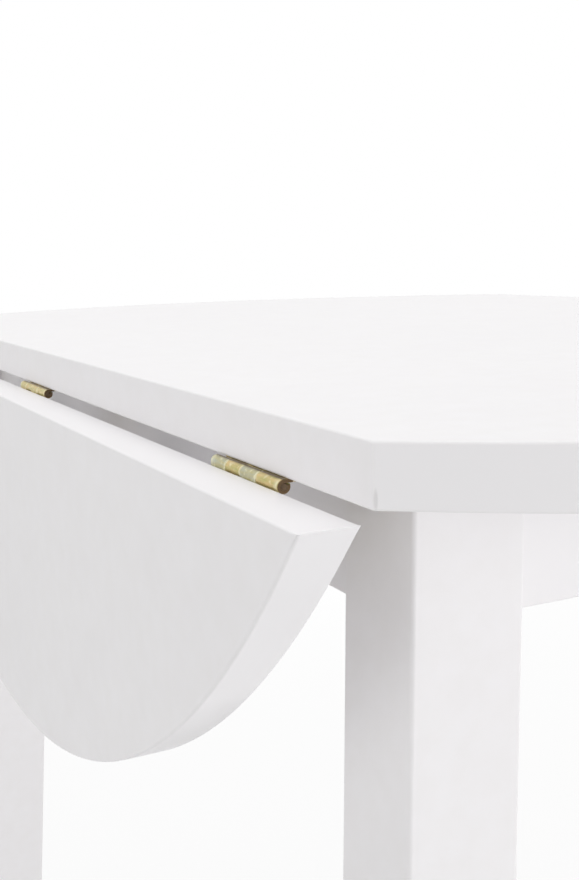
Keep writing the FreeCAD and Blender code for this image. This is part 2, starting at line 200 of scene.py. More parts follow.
def thread(
    height: np.ndarray, angle: np.ndarray, pitch: np.ndarray | float, root: np.ndarray | float
) -> np.ndarray:
    """Works out a thread's radius as a share of its crest's.

    It is root + (1 - root) * ridge, where ridge runs from 0 to 1 and back once in each pitch, and turns with
    the angle.

    Args:
        height: Heights of the points.
        angle: Their angles round the axis.
        pitch: Height of one turn.
        root: Radius at the bottom of the thread, as a share of the crest's.

    Returns:
        The shares.
    """
    ridge = 1 - 2 * abs((height / pitch - angle / FULL_TURN) % 1.0 - 0.5)
    return root + (1 - root) * ridge


def rounded_rectangle(half_u: float, half_v: float, corner: float, steps: int = 6) -> np.ndarray:
    """Outlines a rectangle with round corners.

    Corner k has its centre at (half_u - corner, half_v - corner), turned to its quadrant, and the points of
    its quarter circle are centre + corner * (cos a, sin a).

    Args:
        half_u: Half the size the first way.
        half_v: Half the size the second way.
        corner: Radius of the corners.
        steps: Points on each corner.

    Returns:
        Points of shape (4 * steps, 2), anticlockwise.
    """
    angle = np.arange(4)[:, None] * QUARTER + np.linspace(0, QUARTER, steps)
    sign_u = np.array([1, -1, -1, 1])[:, None]
    sign_v = np.array([1, 1, -1, -1])[:, None]
    u = sign_u * (half_u - corner) + corner * np.cos(angle)
    v = sign_v * (half_v - corner) + corner * np.sin(angle)
    return np.stack([u.ravel(), v.ravel()], axis=1)


def stadium(length: float, half_width: float, steps: int = 16) -> np.ndarray:
    """Outlines a bar with round ends, from the centre of one end at (0, 0) to the other's at (0, -length).

    Args:
        length: Distance between the centres of the ends.
        half_width: Radius of the ends.
        steps: Points on each end.

    Returns:
        Points of shape (2 * steps, 2).
    """
    arc = half_width * unit_arc(np.linspace(0, math.pi, steps))
    return np.concatenate([arc, -arc - np.array([0, length])])


def raised(flat: np.ndarray, height: np.ndarray) -> np.ndarray:
    """Gives each loop of flat points its height along the third axis."""
    tall = np.broadcast_to(height[:, None, None], (*flat.shape[:2], 1))
    return np.concatenate([flat, tall], axis=2)


def plate(outline: np.ndarray, thickness: float, ease: float) -> np.ndarray:
    """Carries an outline through a thickness with eased edges.

    Loop i is the outline drawn in by inset(i) along its normals, at height(i): in by ease at both faces.

    Args:
        outline: Points of shape (n, 2).
        thickness: Thickness along the third axis, from 0.
        ease: Size of the eased edge.

    Returns:
        Loops of shape (4, n, 3), with the thickness last.
    """
    height = np.array([0, ease, thickness - ease, thickness])
    inset = np.array([ease, 0, 0, ease])
    tangent = np.roll(outline, -1, axis=0) - np.roll(outline, 1, axis=0)
    normal = np.stack([tangent[:, 1], -tangent[:, 0]], axis=1)
    normal /= np.linalg.norm(normal, axis=1, keepdims=True)
    return raised(outline - inset[:, None, None] * normal, height)


def on_edge(loops: np.ndarray) -> np.ndarray:
    """Stands a plate on its edge, with its thickness along Y."""
    return loops[..., [0, 2, 1]]


def bent_sheet(corners: np.ndarray, thickness: float, bend: float, steps: int = 7) -> np.ndarray:
    """Outlines the edge of a sheet that is folded along its middle line.

    Each inner corner becomes an arc of radius bend, tangent to both of its runs. The outline is the middle
    line moved half the thickness to one side, and back along the other side.

    Args:
        corners: Middle line as points of shape (n, 2).
        thickness: Thickness of the sheet.
        bend: Radius of the middle line at a fold.
        steps: Points on each fold.

    Returns:
        Closed outline of shape (m, 2).
    """
    runs = np.diff(corners, axis=0)
    runs /= np.linalg.norm(runs, axis=1, keepdims=True)
    left = np.stack([-runs[:, 1], runs[:, 0]], axis=1)
    middle = [corners[:1]]
    normals = [left[:1]]
    for place in range(1, len(corners) - 1):
        before, after = runs[place - 1], runs[place]
        turn = math.atan2(before[0] * after[1] - before[1] * after[0], before @ after)
        radius = math.copysign(bend, turn)
        start = corners[place] - before * bend * math.tan(abs(turn) / 2)
        centre = start + radius * left[place - 1]
        arc = unit_arc(np.linspace(0, turn, steps))
        normal = left[place - 1] * arc[:, :1] - before * arc[:, 1:]
        middle.append(centre - radius * normal)
        normals.append(normal)
    line = np.concatenate([*middle, corners[-1:]])
    aside = np.concatenate([*normals, left[-1:]]) * thickness / 2
    return np.concatenate([line + aside, (line - aside)[::-1]])


def aimed(points: np.ndarray, base: np.ndarray, axis: np.ndarray) -> np.ndarray:
    """Turns points so that their third axis lies along an axis, and moves their origin to base.

    The first axis is the cross product of a helper with the new third axis, and the second is the cross
    product of the third with the first. The helper is Y, or X where the axis lies near Y.

    Args:
        points: Points of shape (..., 3).
        base: Where the origin goes.
        axis: Where the third axis points.

    Returns:
        Points of the same shape.
    """
    third = axis / np.linalg.norm(axis)
    helper = Y_AXIS if abs(third[1]) < NEAR_PARALLEL else X_AXIS
    first = np.cross(helper, third)
    first /= np.linalg.norm(first)
    return points @ np.stack([first, np.cross(third, first), third]) + base


def hang(offsets: np.ndarray) -> np.ndarray:
    """Turns offsets from the pin a quarter, from level to hanging: (x, y, z) becomes (z, y, -x)."""
    return offsets[..., [2, 1, 0]] * np.array([1, 1, -1])


def to_side(points: np.ndarray, side: Side) -> np.ndarray:
    """Turns points, which are worked out on the right, half round the Z axis for the left side."""
    return points * np.array([side.value, side.value, 1])


def to_corner(points: np.ndarray, side: Side, end: End) -> np.ndarray:
    """Mirrors points from the right rear corner, where they are worked out, to another corner."""
    return points * np.array([side.value, end.value, 1])


def node_box(node: str) -> tuple[np.ndarray, np.ndarray]:
    """Returns the lowest and highest corners of a CAD node as arrays."""
    low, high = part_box(node)
    return np.array(low), np.array(high)


def node_middle(node: str) -> np.ndarray:
    """Returns the middle of a CAD node's box."""
    return sum(node_box(node)) / 2


def make_piece(node: str, shells: list[Shell], finish: "Finish") -> None:
    """Adds the piece that stands for a CAD node, on the node's own body, with the finish's material, and
    hides the node.

    Args:
        node: Name of the CAD node.
        shells: Surfaces of the piece, in place.
        finish: What it is coated with or made of.
    """
    first = np.cumsum([0] + [len(shell.points) for shell in shells])
    faces: list[list[int]] = []
    for shell, offset in zip(shells, first):
        faces += (shell.quads + offset).tolist()
        faces += [(end + offset).tolist() for end in shell.ends]
    mesh = bpy.data.meshes.new(f"{node}_piece")
    mesh.from_pydata(np.concatenate([shell.points for shell in shells]).tolist(), [], faces)
    # How worn each point is; on the hinges this value also carries painted shade and painted highlights.
    wear = np.concatenate([shell.wear for shell in shells])
    attribute = mesh.attributes.new("wear", "FLOAT", "POINT")
    attribute.data.foreach_set("value", wear.astype(np.float32))
    work = bmesh.new()
    work.from_mesh(mesh)
    bmesh.ops.remove_doubles(work, verts=work.verts, dist=WELD)
    bmesh.ops.recalc_face_normals(work, faces=work.faces)
    work.to_mesh(mesh)
    work.free()
    mesh.polygons.foreach_set("use_smooth", np.ones(len(mesh.polygons), bool))
    mesh.set_sharp_from_angle(angle=SHARP_ANGLE)
    mesh.materials.append(finish.material())
    piece = bpy.data.objects.new(f"{node}_piece", mesh)
    bpy.context.scene.collection.objects.link(piece)
    weighting = piece.modifiers.new("face_weighted_normals", "WEIGHTED_NORMAL")
    weighting.keep_sharp = True
    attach(piece, frame["nodes"][node]["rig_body"])
    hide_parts(node)
    log.info("%s: %d faces in %s", piece.name, len(mesh.polygons), mesh.materials[0].name)


# Finishes


@dataclass(frozen=True)
class Grain:
    """A noise: its grains to the metre, its octaves of detail, and its scale's shares along X, Y and Z."""

    scale: float
    detail: float
    stretch: Triple = (1.0, 1.0, 1.0)


class Wiring:
    """Places and joins the nodes of a material or a world."""

    def __init__(self, owner: bpy.types.Material | bpy.types.World) -> None:
        """Starts with the nodes that a new material or world has."""
        owner.use_nodes = True
        self.tree = owner.node_tree

    def feed(self, target: Socket, value: object) -> None:
        """Links a socket to another one, or sets its value.

        Args:
            target: The socket.
            value: A socket that feeds it, or the value.
        """
        if isinstance(value, Socket):
            self.tree.links.new(value, target)
        else:
            target.default_value = value

    def node(self, kind: str, **values: object) -> bpy.types.Node:
        """Adds a node.

        Args:
            kind: Blender's name for the kind of node.
            values: What feeds its sockets, by name.

        Returns:
            The node.
        """
        made = self.tree.nodes.new(kind)
        for name, value in values.items():
            self.feed(made.inputs[name], value)
        return made

    def reckon(self, kind: str, operation: str, *values: Socket) -> bpy.types.Node:
        """Adds a node that reckons with values.

        Args:
            kind: Blender's name for the kind of node.
            operation: What it does.
            values: What feeds its sockets, in their order.

        Returns:
            The node.
        """
        made = self.node(kind)
        made.operation = operation
        for socket, value in zip(made.inputs, values):
            self.feed(socket, value)
        return made

    def product(self, first: Socket, second: Socket) -> Socket:
        """Multiplies two values."""
        return self.reckon("ShaderNodeMath", "MULTIPLY", first, second).outputs[0]

    def layer(self, share: Socket, under: bpy.types.Node, over: bpy.types.Node) -> bpy.types.Node:
        """Mixes two shaders.

        Args:
            share: How much of the second.
            under: The first shader.
            over: The second.

        Returns:
            The node that mixes them.
        """
        mix = self.node("ShaderNodeMixShader", Fac=share)
        self.feed(mix.inputs[1], under.outputs[0])
        self.feed(mix.inputs[2], over.outputs[0])
        return mix

    def seen_share(self) -> Socket:
        """Gives 1 to rays from the camera, a mirror or a glass, and 0 to the rest, as their highest share.

        Returns:
            The value.
        """
        path = self.node("ShaderNodeLightPath")
        total = path.outputs["Is Camera Ray"]
        for name in ("Is Glossy Ray", "Is Transmission Ray"):
            total = self.reckon("ShaderNodeMath", "MAXIMUM", total, path.outputs[name]).outputs[0]
        return total


class Recipe(Wiring):
    """The nodes of a material that reads Object coordinates.

    The Mix node's colour sockets share their names with others, so they are known by their places.
    """

    COLOUR_INPUTS = slice(6, 8)
    COLOUR_OUTPUT = 2

    def __init__(self, name: str) -> None:
        """Starts a material with a Principled shader.

        Args:
            name: Name of the material.
        """
        self.material = bpy.data.materials.new(name)
        super().__init__(self.material)
        self.shader = self.tree.nodes["Principled BSDF"]
        self.place = self.node("ShaderNodeTexCoord").outputs["Object"]

    def coat(self, tone: Socket, roughness: Socket, metal: float = 0.0) -> None:
        """Dresses the shader.

        Args:
            tone: The colour.
            roughness: The roughness.
            metal: How far it is metal, from 0 to 1.
        """
        self.feed(self.shader.inputs["Base Color"], tone)
        self.feed(self.shader.inputs["Roughness"], roughness)
        self.shader.inputs["Metallic"].default_value = metal

    def noise(self, grain: Grain) -> Socket:
        """Adds a noise, drawn out where its stretch is under 1.

        Args:
            grain: What it is like.

        Returns:
            The noise's value.
        """
        mapping = self.node("ShaderNodeMapping", Vector=self.place, Scale=grain.stretch)
        vector = mapping.outputs["Vector"]
        texture = self.node("ShaderNodeTexNoise", Vector=vector, Scale=grain.scale, Detail=grain.detail)
        return texture.outputs["Fac"]

    def map(self, value: Socket, ends: tuple[float, float, float, float]) -> Socket:
        """Maps a range of a value to another range, and holds it there.

        Args:
            value: The value.
            ends: Start and end of its range, and what they become.

        Returns:
            The mapped value.
        """
        names = ("From Min", "From Max", "To Min", "To Max")
        ranged = self.node("ShaderNodeMapRange", Value=value, **dict(zip(names, ends)))
        return ranged.outputs["Result"]

    def spread(self, grain: Grain, low: float = 0.0, high: float = 1.0) -> Socket:
        """Maps the middle range of a noise to the range from low to high."""
        return self.map(self.noise(grain), (*NOISE_MIDDLE, low, high))

    def ramp(self, value: Socket, start: float, end: float) -> Socket:
        """Maps the range from start to end to the range from 0 to 1."""
        return self.map(value, (start, end, 0.0, 1.0))

    def blend(self, share: Socket, first: Colour | Socket, second: Colour | Socket) -> Socket:
        """Mixes two colours.

        Args:
            share: How much of the second.
            first: A colour, or a socket that gives one.
            second: Likewise.

        Returns:
            The mixed colour.
        """
        mix = self.node("ShaderNodeMix", Factor=share)
        mix.data_type = "RGBA"
        for socket, value in zip(mix.inputs[self.COLOUR_INPUTS], (first, second)):
            self.feed(socket, value if isinstance(value, Socket) else (*value, 1.0))
        return mix.outputs[self.COLOUR_OUTPUT]

    def spot(self, middle: Triple, half: Triple, edge: Pair = (1.2, 0.6)) -> Socket:
        """Marks an oval spot in each quarter, by the length of (|place| - middle) / half.

        Args:
            middle: Middle of the spot in the quarter where X and Y are above 0.
            half: Half its extent along X, Y and Z.
            edge: Lengths at which it starts and is full.

        Returns:
            1 in the spot and 0 outside it.
        """
        folded = self.reckon("ShaderNodeVectorMath", "ABSOLUTE", self.place)
        scale = 1 / np.array(half)
        shift = -scale * middle
        mapping = self.node("ShaderNodeMapping", Vector=folded.outputs[0], Location=shift, Scale=scale)
        length = self.reckon("ShaderNodeVectorMath", "LENGTH", mapping.outputs["Vector"])
        return self.ramp(length.outputs["Value"], *edge)

    def bump(self, *heights: tuple[Grain, float]) -> None:
        """Raises the surface by one or more noises.

        Args:
            heights: Pairs of a noise and its height in metres at full value.
        """
        normal = None
        for grain, height in heights:
            bump = self.node("ShaderNodeBump", Distance=height, Height=self.noise(grain))
            if normal is not None:
                self.feed(bump.inputs["Normal"], normal)
            normal = bump.outputs["Normal"]
        self.feed(self.shader.inputs["Normal"], normal)

    def wear(self) -> Socket:
        """Reads how worn the surface is, with the painted shade and highlights that share its value.

        Returns:
            How worn it is, with its painted light.
        """
        attribute = self.node("ShaderNodeAttribute")
        attribute.attribute_name = "wear"
        return attribute.outputs["Fac"]


class Finish(ABC):
    """A coating or a bare material, made once and then shared."""

    name: str

    def material(self) -> bpy.types.Material:
        """Makes the material at its first use.

        Returns:
            The material.
        """
        made = bpy.data.materials.get(self.name)
        if made is None:
            recipe = Recipe(self.name)
            self.mix(recipe)
            made = recipe.material
        return made

    @abstractmethod
    def mix(self, recipe: Recipe) -> None:
        """Fills in the material's recipe."""


@dataclass(frozen=True)
class Lacquer(Finish):
    """Sprayed satin white lacquer: faint clouds of tone, an orange-peel skin and thin film on arrises."""

    name: str
    base: Colour = (0.932, 0.918, 0.928)
    cloud: Colour = (0.924, 0.910, 0.921)
    clouds: Grain = Grain(7.0, 4.0)
    thin: Colour = (0.905, 0.888, 0.890)
    thin_share: float = 0.6
    thin_patches: Grain = Grain(120.0, 3.0)
    joint: Colour = (0.80, 0.785, 0.79)
    open_joint: tuple[Triple, Triple] | None = None
    gloss: Pair = (0.32, 0.42)
    gloss_clouds: Grain = Grain(45.0, 3.0)
    sheen: float = 0.3
    peel: Grain = Grain(900.0, 1.0)
    peel_height: float = 4 * MICRON
    wood: Grain | None = None
    wood_height: float = 6 * MICRON

    def mix(self, recipe: Recipe) -> None:
        """Mixes clouds, worn arrises and open joints into the colour, and peel and grain into the bump.

        Args:
            recipe: The recipe to fill in.
        """
        tone = recipe.blend(recipe.spread(self.clouds), self.base, self.cloud)
        patchy = recipe.product(recipe.wear(), recipe.spread(self.thin_patches, 0.0, self.thin_share))
        tone = recipe.blend(patchy, tone, self.thin)
        if self.open_joint:
            tone = recipe.blend(recipe.spot(*self.open_joint), tone, self.joint)
        recipe.coat(tone, recipe.spread(self.gloss_clouds, *self.gloss))
        recipe.shader.inputs["Specular IOR Level"].default_value = self.sheen
        skin = [(self.peel, self.peel_height)]
        if self.wood:
            skin.append((self.wood, self.wood_height))
        recipe.bump(*skin)


@dataclass(frozen=True)
class Passivate(Finish):
    """Passivated zinc on pressed steel: streaks of two tints, rubbed rims, darker ends, painted highlights
    and painted shade.
    """

    name: str
    base: Colour
    drift: Colour
    # Colour of rubbed rims and random spots, also used for the painted highlights at the barrel's ends.
    rubbed: Colour = (0.87, 0.83, 0.60)
    metal: float = 0.8
    streaks: Grain = Grain(900.0, 3.0, (1.0, 0.16, 1.0))
    spots: Grain = Grain(420.0, 4.0)
    spot_share: Pair = (-0.9, 0.6)
    rubbed_patches: Grain = Grain(650.0, 3.0)
    rubbed_share: Pair = (0.5, 1.0)
    # Colour of darker ends, also used for the painted shade along the hinge's crevice.
    tarnish: Colour = (0.135, 0.086, 0.046)
    gloss: Pair = (0.30, 0.50)
    gloss_clouds: Grain = Grain(700.0, 3.0)
    drawn: Grain = Grain(2600.0, 2.0, (1.0, 0.16, 1.0))
    pits: Grain = Grain(900.0, 2.0)
    relief: float = 10 * MICRON

    def mix(self, recipe: Recipe) -> None:
        """Mixes streaks, spots, rubbed rims, painted highlights, darker ends and painted shade into the
        colour.

        Args:
            recipe: The recipe to fill in.
        """
        tone = recipe.blend(recipe.spread(self.streaks), self.base, self.drift)
        tone = recipe.blend(recipe.spread(self.spots, *self.spot_share), tone, self.rubbed)
        patches = recipe.spread(self.rubbed_patches, *self.rubbed_share)
        # Values below 0 give rubbed rims and painted highlights; values above 0 give darker ends and painted
        # shade.
        tone = recipe.blend(recipe.product(recipe.ramp(recipe.wear(), 0.0, -1.0), patches), tone, self.rubbed)
        tone = recipe.blend(recipe.ramp(recipe.wear(), 0.0, 1.0), tone, self.tarnish)
        recipe.coat(tone, recipe.spread(self.gloss_clouds, *self.gloss), self.metal)
        recipe.bump((self.drawn, self.relief), (self.pits, self.relief))


@dataclass(frozen=True)
class ZincPlate(Finish):
    """Bright zinc plate: small crystals of two greys and a fine brushed grain."""

    name: str
    light: Colour = (0.62, 0.63, 0.65)
    dark: Colour = (0.46, 0.47, 0.50)
    crystals: float = 420.0
    gloss: Pair = (0.24, 0.42)
    gloss_clouds: Grain = Grain(500.0, 3.0)
    brushing: Grain = Grain(1800.0, 2.0, (1.0, 0.2, 0.2))
    brushing_height: float = 8 * MICRON

    def mix(self, recipe: Recipe) -> None:
        """Mixes crystal cells into the colour and brushing into the bump.

        Args:
            recipe: The recipe to fill in.
        """
        cells = recipe.node("ShaderNodeTexVoronoi", Vector=recipe.place, Scale=self.crystals)
        cell = recipe.node("ShaderNodeSeparateColor", Color=cells.outputs["Color"])
        tone = recipe.blend(cell.outputs["Red"], self.light, self.dark)
        recipe.coat(tone, recipe.spread(self.gloss_clouds, *self.gloss), metal=1.0)
        recipe.bump((self.brushing, self.brushing_height))


@dataclass(frozen=True)
class PowderCoat(Finish):
    """White powder coat: a fine pebbled skin with faint clouds of tone."""

    name: str
    base: Colour = (0.84, 0.84, 0.83)
    cloud: Colour = (0.79, 0.79, 0.78)
    clouds: Grain = Grain(90.0, 3.0)
    gloss: Pair = (0.38, 0.52)
    gloss_clouds: Grain = Grain(300.0, 2.0)
    pebbles: Grain = Grain(1500.0, 1.0)
    pebble_height: float = 20 * MICRON

    def mix(self, recipe: Recipe) -> None:
        """Mixes clouds into the colour and pebbles into the bump.

        Args:
            recipe: The recipe to fill in.
        """
        tone = recipe.blend(recipe.spread(self.clouds), self.base, self.cloud)
        recipe.coat(tone, recipe.spread(self.gloss_clouds, *self.gloss))
        recipe.bump((self.pebbles, self.pebble_height))


@dataclass(frozen=True)
class Nylon(Finish):
    """Moulded nylon: milky, with scuffs that floors leave on the worn face."""

    name: str
    base: Colour = (0.66, 0.66, 0.63)
    scuff: Colour = (0.36, 0.35, 0.33)
    scratches: Grain = Grain(260.0, 5.0, (1.0, 0.15, 1.0))
    gloss: Pair = (0.45, 0.65)
    gloss_clouds: Grain = Grain(200.0, 3.0)
    skin: Grain = Grain(1200.0, 2.0)
    skin_height: float = 10 * MICRON

    def mix(self, recipe: Recipe) -> None:
        """Mixes scuffs into the colour where the piece is worn.

        Args:
            recipe: The recipe to fill in.
        """
        patchy = recipe.product(recipe.wear(), recipe.spread(self.scratches))
        tone = recipe.blend(patchy, self.base, self.scuff)
        recipe.coat(tone, recipe.spread(self.gloss_clouds, *self.gloss))
        recipe.bump((self.skin, self.skin_height))


BOARD_LACQUER = Lacquer("board_lacquer")
LEG_LACQUER = Lacquer("frame_lacquer", wood=Grain(700.0, 3.0, (1.0, 1.0, 0.03)))
END_APRON_LACQUER = Lacquer("end_apron_lacquer", wood=Grain(700.0, 3.0, (0.03, 1.0, 1.0)))
SIDE_APRON_LACQUER = Lacquer("side_apron_lacquer", wood=Grain(700.0, 3.0, (1.0, 0.03, 1.0)))
GOLD_PASSIVATE = Passivate("gold_passivate", (0.74, 0.55, 0.26), (0.48, 0.46, 0.17))
GREY_PASSIVATE = Passivate("grey_passivate", (0.48, 0.50, 0.40), (0.54, 0.49, 0.25))
SCREW_PASSIVATE = Passivate("screw_passivate", (0.60, 0.52, 0.28), (0.50, 0.48, 0.33))
BROWNED_WIRE = Passivate(
    "browned_wire", (0.13, 0.083, 0.046), (0.11, 0.072, 0.042), rubbed=(0.14, 0.09, 0.05), metal=0.5
)
ZINC = ZincPlate("bright_zinc")
POWDER = PowderCoat("white_powder_coat")
NYLON = Nylon("milky_nylon")


# Screws


@dataclass(frozen=True)
class WoodScrew:
    """A wood screw with a cross recess. Its own third axis points into the wood, from the head's seat."""

    radius: float = 1.6 * MM
    head_radius: float = 3.2 * MM
    sink: float = 1.6 * MM
    pan_height: float = 2.0 * MM
    rim_edge: float = 0.06 * MM
    root: float = 0.72
    pitch: float = 1.7 * MM
    tip: float = 3.0 * MM
    tip_share: float = 0.03
    arm_width: float = 0.9 * MM
    arm_reach: float = 2.0 * MM
    arm_depth: float = 1.1 * MM
    arm_wall: float = 0.25 * MM
    face_start: float = 0.04
    face_loops: int = 13
    fewest_loops: int = 6
    loops_in_pitch: int = 5
    segments: int = 40

    def head_face(self, head: Head, angle: np.ndarray) -> tuple[np.ndarray, np.ndarray]:
        """Works out the head's outer face, from its middle to its rim.

        The face is flat on a sunk head, and rises by pan_height * sqrt(1 - share^4) on a pan head, where
        share is the part of the way out to the rim. The recess is two crossed slots: its depth falls off
        over a wall from each slot's middle line, whose distance is r * min(|sin a|, |cos a|), and over a
        wall at the slots' ends.

        Args:
            head: The kind of head.
            angle: Angles of the points round the axis.

        Returns:
            Radii and heights, each of shape (loops, points).
        """
        share = np.linspace(self.face_start, 1.0, self.face_loops)[:, None]
        radius = self.head_radius * share * np.ones_like(angle)
        dome = self.pan_height * np.sqrt(1 - share ** 4) if head is Head.PAN else 0.0
        off_line = radius * np.minimum(abs(np.sin(angle)), abs(np.cos(angle)))
        wall = self.arm_wall
        slot = np.clip((self.arm_width / 2 + wall - off_line) / wall, 0, 1)
        slot *= np.clip((self.arm_reach + wall - radius) / (2 * wall), 0, 1)
        return radius, slot * self.arm_depth - dome

    def shank(self, start: float, length: float, angle: np.ndarray) -> tuple[np.ndarray, np.ndarray]:
        """Works out the threaded shank from the head down to the point.

        Over the tip the thread's radius shrinks in step with the distance to the point.

        Args:
            start: Height where the shank leaves the head.
            length: Height of the point.
            angle: Angles of the points round the axis.

        Returns:
            Radii and heights, each of shape (loops, points).
        """
        loops = max(self.fewest_loops, int(self.loops_in_pitch * (length - start) / self.pitch))
        height = np.linspace(start, length, loops)[:, None]
        taper = np.clip((length - height) / self.tip, self.tip_share, 1.0)
        radius = self.radius * thread(height, angle, self.pitch, self.root) * taper
        return radius, height * np.ones_like(angle)

    def shell(self, head: Head, length: float, base: np.ndarray, axis: np.ndarray, turn: float) -> Shell:
        """Makes one screw in place.

        Args:
            head: The kind of head.
            length: Length below the seat of the head.
            base: Middle of the head's seat.
            axis: Direction into the wood.
            turn: Angle at which the recess came to rest.

        Returns:
            The screw.
        """
        angle = all_round(self.segments)[None]
        neck, rim = (self.sink, self.rim_edge) if head is Head.SUNK else (0.0, 0.0)
        face_radius, face_height = self.head_face(head, angle)
        shank_radius, shank_height = self.shank(neck, length, angle)
        radius = np.concatenate([face_radius, np.full_like(angle, self.head_radius), shank_radius])
        height = np.concatenate([face_height, np.full_like(angle, rim), shank_height])
        return loft(aimed(polar(radius, angle + turn, height), base, axis))


class ScrewTray:
    """Gathers screws by the node that they belong to."""

    GOLDEN_TURN = 2.39996

    def __init__(self) -> None:
        """Starts with no screws."""
        self.kind = WoodScrew()
        self.rows: dict[str, list[Shell]] = {}

    def add(self, node: str, head: Head, length: float, base: np.ndarray, axis: np.ndarray) -> None:
        """Adds a screw, with its recess turned on from the one before.

        Args:
            node: The node of its group.
            head: The kind of head.
            length: Length below the seat of the head.
            base: Middle of the head's seat.
            axis: Direction into the wood.
        """
        row = self.rows.setdefault(node, [])
        row.append(self.kind.shell(head, length, base, axis, self.GOLDEN_TURN * len(row)))

    def make(self) -> None:
        """Makes one piece of each group."""
        for node, shells in self.rows.items():
            make_piece(node, shells, SCREW_PASSIVATE)


# Boards


@dataclass
class Boards:
    """The fixed centre board and the two hanging leaves."""

    rim_round: float = 1.0 * MM
    seam_round: float = 0.8 * MM
    seam_gap: float = 2.0 * MM
    seam_margin: float = 1.2 * MM
    tip_margin: float = 0.2 * MM
    tip_width: float = 0.05 * MM
    joint_half: Triple = (0.6 * MM, 0.6 * MM, 2.9 * MM)
    joint_inset: float = 0.6 * MM
    stations: int = 120
    steps: int = 9

    def __post_init__(self) -> None:
        """Measures the boards on the centre board's node."""
        low, high = node_box("centre_top")
        self.half_width = float(high[0])
        self.rim_radius = float(high[1])
        self.underside = float(low[2])
        self.thickness = float(high[2] - low[2])
        self.half_chord = math.sqrt(self.rim_radius ** 2 - self.half_width ** 2)

    def edge(self, upper: float, lower: float) -> tuple[np.ndarray, np.ndarray]:
        """Works out a board's edge from its upper face to its lower one.

        The upper quarter circle is inset by upper * (1 - sin a) and lies upper * (1 - cos a) below the face.
        The lower one is inset by lower * (1 - cos a) and lies lower * (1 - sin a) above the other face.

        Args:
            upper: Radius at the upper face.
            lower: Radius at the lower face.

        Returns:
            Insets and heights above the lower face.
        """
        angle = np.linspace(0, QUARTER, self.steps)
        inset = np.concatenate([upper * (1 - np.sin(angle)), lower * (1 - np.cos(angle))])
        top = self.thickness - upper * (1 - np.cos(angle))
        return inset, np.concatenate([top, lower * (1 - np.sin(angle))])

    def centre_shell(self) -> Shell:
        """Cuts the centre board into slices across X.

        At x the slice reaches y = sqrt((R - inset)^2 - x^2) each way, which follows the round rim, and its
        height is clipped near the seams by a quarter circle of the seam's own radius.

        Returns:
            The board.
        """
        inset, height = self.edge(self.rim_round, self.seam_round)
        reach = math.asin((self.half_width - self.seam_margin) / self.rim_radius)
        across = self.rim_radius * np.sin(np.linspace(-reach, reach, self.stations))
        roll = np.linspace(0, QUARTER, self.steps)
        eased = self.half_width - self.seam_round * (1 - np.sin(roll))
        drop = self.seam_round * (1 - np.cos(roll))
        x = np.concatenate([-eased[::-1], across, eased])[:, None]
        fall = np.concatenate([drop[::-1], np.zeros(self.stations), drop])[:, None]
        y = np.sqrt((self.rim_radius - inset) ** 2 - x ** 2)
        y = np.concatenate([y, -y[:, ::-1]], axis=1)
        z = np.clip(np.concatenate([height, height[::-1]]), fall, self.thickness - fall)
        worn = (np.concatenate([inset, inset[::-1]]) > 0) | (fall > 0)
        return loft(np.stack([x * np.ones_like(y), y, self.underside + z], axis=-1), worn)

    def leaf_shell(self, side: Side) -> Shell:
        """Cuts a leaf into slices across Y, level, and hangs it on its pin.

        At y the slice runs from the seam to x = gap + sqrt((R - inset)^2 - y^2).

        Args:
            side: Which leaf.

        Returns:
            The leaf.
        """
        rim_inset, rim_height = self.edge(self.rim_round, self.seam_round)
        seam_inset, seam_height = self.edge(self.seam_round, self.seam_round)
        tip = math.asin((self.half_chord - self.tip_margin) / self.rim_radius)
        y = self.rim_radius * np.sin(np.linspace(-tip, tip, self.stations))[:, None]
        seam = self.half_width + self.seam_gap
        rim_x = self.seam_gap + np.sqrt((self.rim_radius - rim_inset) ** 2 - y ** 2)
        rim_x = np.maximum(rim_x, seam + self.tip_width)
        seam_x = np.minimum(seam + seam_inset, rim_x[:, ::-1])
        x = np.concatenate([rim_x, seam_x[:, ::-1]], axis=1)
        z = self.underside + np.concatenate([rim_height, seam_height[::-1]])
        level = np.stack(np.broadcast_arrays(x, y, z), axis=-1)
        pin = node_middle("right_middle_hinge_pin")
        worn = np.concatenate([rim_inset, seam_inset[::-1]]) > 0
        return loft(to_side(hang(level - pin) + pin, side), worn)

    def make(self) -> None:
        """Makes the three boards. The edge band's joints have opened a little at the centre's corners."""
        joint = (
            self.half_width - self.joint_inset,
            self.half_chord + self.joint_inset,
            self.underside + self.joint_half[2],
        )
        lacquer = Lacquer("centre_board_lacquer", open_joint=(joint, self.joint_half))
        make_piece("centre_top", [self.centre_shell()], lacquer)
        for side in Side:
            make_piece(f"{side.word}_leaf", [self.leaf_shell(side)], BOARD_LACQUER)


# Legs and aprons


